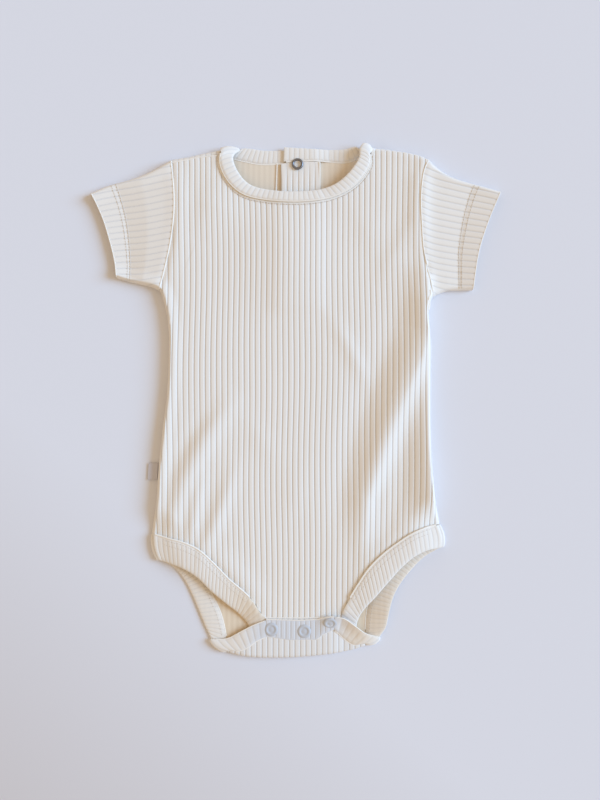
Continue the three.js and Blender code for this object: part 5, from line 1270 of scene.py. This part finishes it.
# %% Rows of stitches
neck_row = on_front(offset(neck_seam[:, :2], 2.4), 0.7)
made_of("neck_stitches", [stitched(neck_row)], thread)
for side, (front_run, back_run, _) in zip(LEGS, leg_runs):
    parts = [stitched(on_band(front_run, 0.08, 0.12, slice(36, -10))),
             stitched(on_band(front_run, 0.27, 0.28, slice(36, -10))),
             stitched(on_band(back_run, 0.2, 0.25, slice(30, -14)))]
    made_of(f"leg_stitches_{side}", parts, thread)


def hem_row(sleeve, depth):
    """A line round a sleeve's hem, as deep in from the cuff as given, on the sleeve's cloth."""
    q = np.linspace(0.012, 0.988, 60)
    s = hem_share(sleeve, depth)
    place = sleeve_place(sleeve, np.full(q.shape, s), q)
    line = on_front(place, 0.45)
    line[:, 2] += (sleeve_lean(sleeve, s) + HEM_RISE) * ease(edge_distance(place[:, 0], place[:, 1]), 0, 4)
    return line


for side, sleeve in SLEEVES.items():
    hem_rows = [stitched(hem_row(sleeve, HEM_DEPTH + by), 2.2, 0.42, 0.36) for by in (-2.4, 0.6)]
    made_of(f"hem_stitches_{side}", hem_rows, thread)
    cuff_edge = hem_row(sleeve, 0.3) - [0, 0, 0.4]
    made_of(f"cuff_edge_{side}", [tube(cuff_edge, 0.9, 1.0)], seam_cloth)

# %% [markdown]
# The neck's snap is an open metal ring, and each snap at the crotch shows as a pressed ring with the cloth
# standing up in its middle. Both are round, so a profile of a few points is turned round an upright axis.

# %% Snaps
RING = [(2.8, 0), (4.4, 0), (4.7, 0.4), (4.6, 0.8), (4.3, 1.1), (3.75, 1.3), (3.2, 1.15), (2.8, 0.8),
        (2.75, 0.4)]
PRESSED = [(0, 0), (5.2, 0), (5.6, 0.12), (5.2, 0.3), (4.6, 0.62), (3.9, 0.72), (3.3, 0.6), (2.9, 0.34),
           (2.2, 0.26), (1.5, 0.4), (0.8, 0.5), (0, 0.52)]
RING_BED = FLAP_BOTTOM + 0.2 + BAND + 0.2
SNAP_TILT, SNAP_FORESHORTENED = 0.22, 0.8  # the third one lies on the tilted end of its strip


def lathe(profile, x, y, z, sides=40):
    """The profile's radii and heights, carried round the upright axis through (x, y, z)."""
    r, h = np.array(profile, float).T
    turn = np.linspace(0, 2 * np.pi, sides, endpoint=False)[:, None]
    points = np.stack([x + r * np.cos(turn), y + r * np.sin(turn), z + h + 0 * turn], -1)
    index = np.arange(sides * len(r)).reshape(sides, len(r))
    a, b = index, np.roll(index, -1, 0)
    c, d = np.roll(b, -1, 1), np.roll(index, -1, 1)
    points = points.reshape(-1, 3)
    return points, outwards(points, halves(a, b, c, d))


for name, at, profile, material, slot in (
        ("neck", (1.4, 192.3, 4.2), RING, dark_metal, "dark_snap"),
        ("crotch_1", (-19.9, -186.5, RING_BED), PRESSED, pale_ring, "pale_snap"),
        ("crotch_2", (6.8, -188, RING_BED), PRESSED, pale_ring, "pale_snap"),
        ("crotch_3", (28, -181.3, RING_BED + 1.6), PRESSED, pale_ring, "pale_snap")):
    points, faces = lathe(profile, *at)
    if name == "crotch_3":
        points[:, 2] += SNAP_TILT * (points[:, 1] - at[1])
        points[:, 1] = at[1] + SNAP_FORESHORTENED * (points[:, 1] - at[1])
    piece = put(f"snap_{name}", points, faces, material)
    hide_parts(f"snap_ring_{name}")

# %% [markdown]
# A small folded tab is sewn into the left side seam and lies flat on the surface. It is left bare.

# %% The side tab
TAB_LOW = [(-121.2, -65.2), (-113.4, -65.2)]
TAB_HIGH = [(-120.4, -51.7), (-112.9, -51.7)]


def tab_face(z):
    """The tab's four corners at one height, as a grid of two rows."""
    return np.array([[(x, y, z) for x, y in row] for row in (TAB_LOW, TAB_HIGH)])


tab = put("side_tab", *shell(tab_face(1.4), tab_face(0.4)), tab_shaded_cloth, smooth_to=20)
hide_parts("side_label")

# %% [markdown]
# The garment was pictured on a plain pale surface, with a cool light from the right and a warm room
# round it. One wide sun gives the soft cool side of every rib, and the world's even light fills the rest.

# %% The surface
FLOOR_HALF, FLOOR_LOW = 2, -0.0002
SURFACE, SURFACE_SHADED = (0.766, 0.77, 0.822, 1), (0.47, 0.39, 0.33, 1)
floor_mesh = bpy.data.meshes.new("floor")
corners = [(x * FLOOR_HALF, y * FLOOR_HALF, FLOOR_LOW) for x, y in ((-1, -1), (1, -1), (1, 1), (-1, 1))]
floor_mesh.from_pydata(corners, [], [(0, 1, 2, 3)])
floor = bpy.data.objects.new("floor", floor_mesh)
bpy.context.collection.objects.link(floor)
material, tree, shader = new_material("surface")
at = add_node(tree, "ShaderNodeSeparateXYZ", values={"Vector": object_place(tree)})
x, y = Socket(tree, at.outputs["X"]), Socket(tree, at.outputs["Y"])
# painted shade: the surface grows darker and browner towards the lower left
painted_corner_shade = ((x * -0.9 + y * -1.1 - 0.22) * 1.2).clamped(0, 1)
connect(tree, shader.inputs["Base Color"], mix_colours(tree, painted_corner_shade, SURFACE, SURFACE_SHADED))
shader.inputs["Roughness"].default_value = 0.8
floor_mesh.materials.append(material)
print("surface", 2 * FLOOR_HALF, "m wide")

# %% The light
world = bpy.data.worlds.new("world")
bpy.context.scene.world = world
world.use_nodes = True
background = world.node_tree.nodes["Background"]
background.inputs["Color"].default_value = (1, 0.80, 0.58, 1)
background.inputs["Strength"].default_value = 0.655


def sun(name, elevation, azimuth, strength, colour, softness):
    """A sun that shines from the azimuth, in degrees from +X towards +Y."""
    light = bpy.data.lights.new(name, "SUN")
    light.energy = strength
    light.color = colour
    light.angle = np.radians(softness)
    lamp = bpy.data.objects.new(name, light)
    lamp.rotation_euler = (0, np.radians(90 - elevation), np.radians(azimuth))
    bpy.context.collection.objects.link(lamp)
    return lamp


key = sun("key", elevation=29, azimuth=10, strength=3.5, colour=(0.38, 0.65, 1.0), softness=32)
bpy.context.scene.view_settings.view_transform = "Standard"
print("sun", key.data.energy)
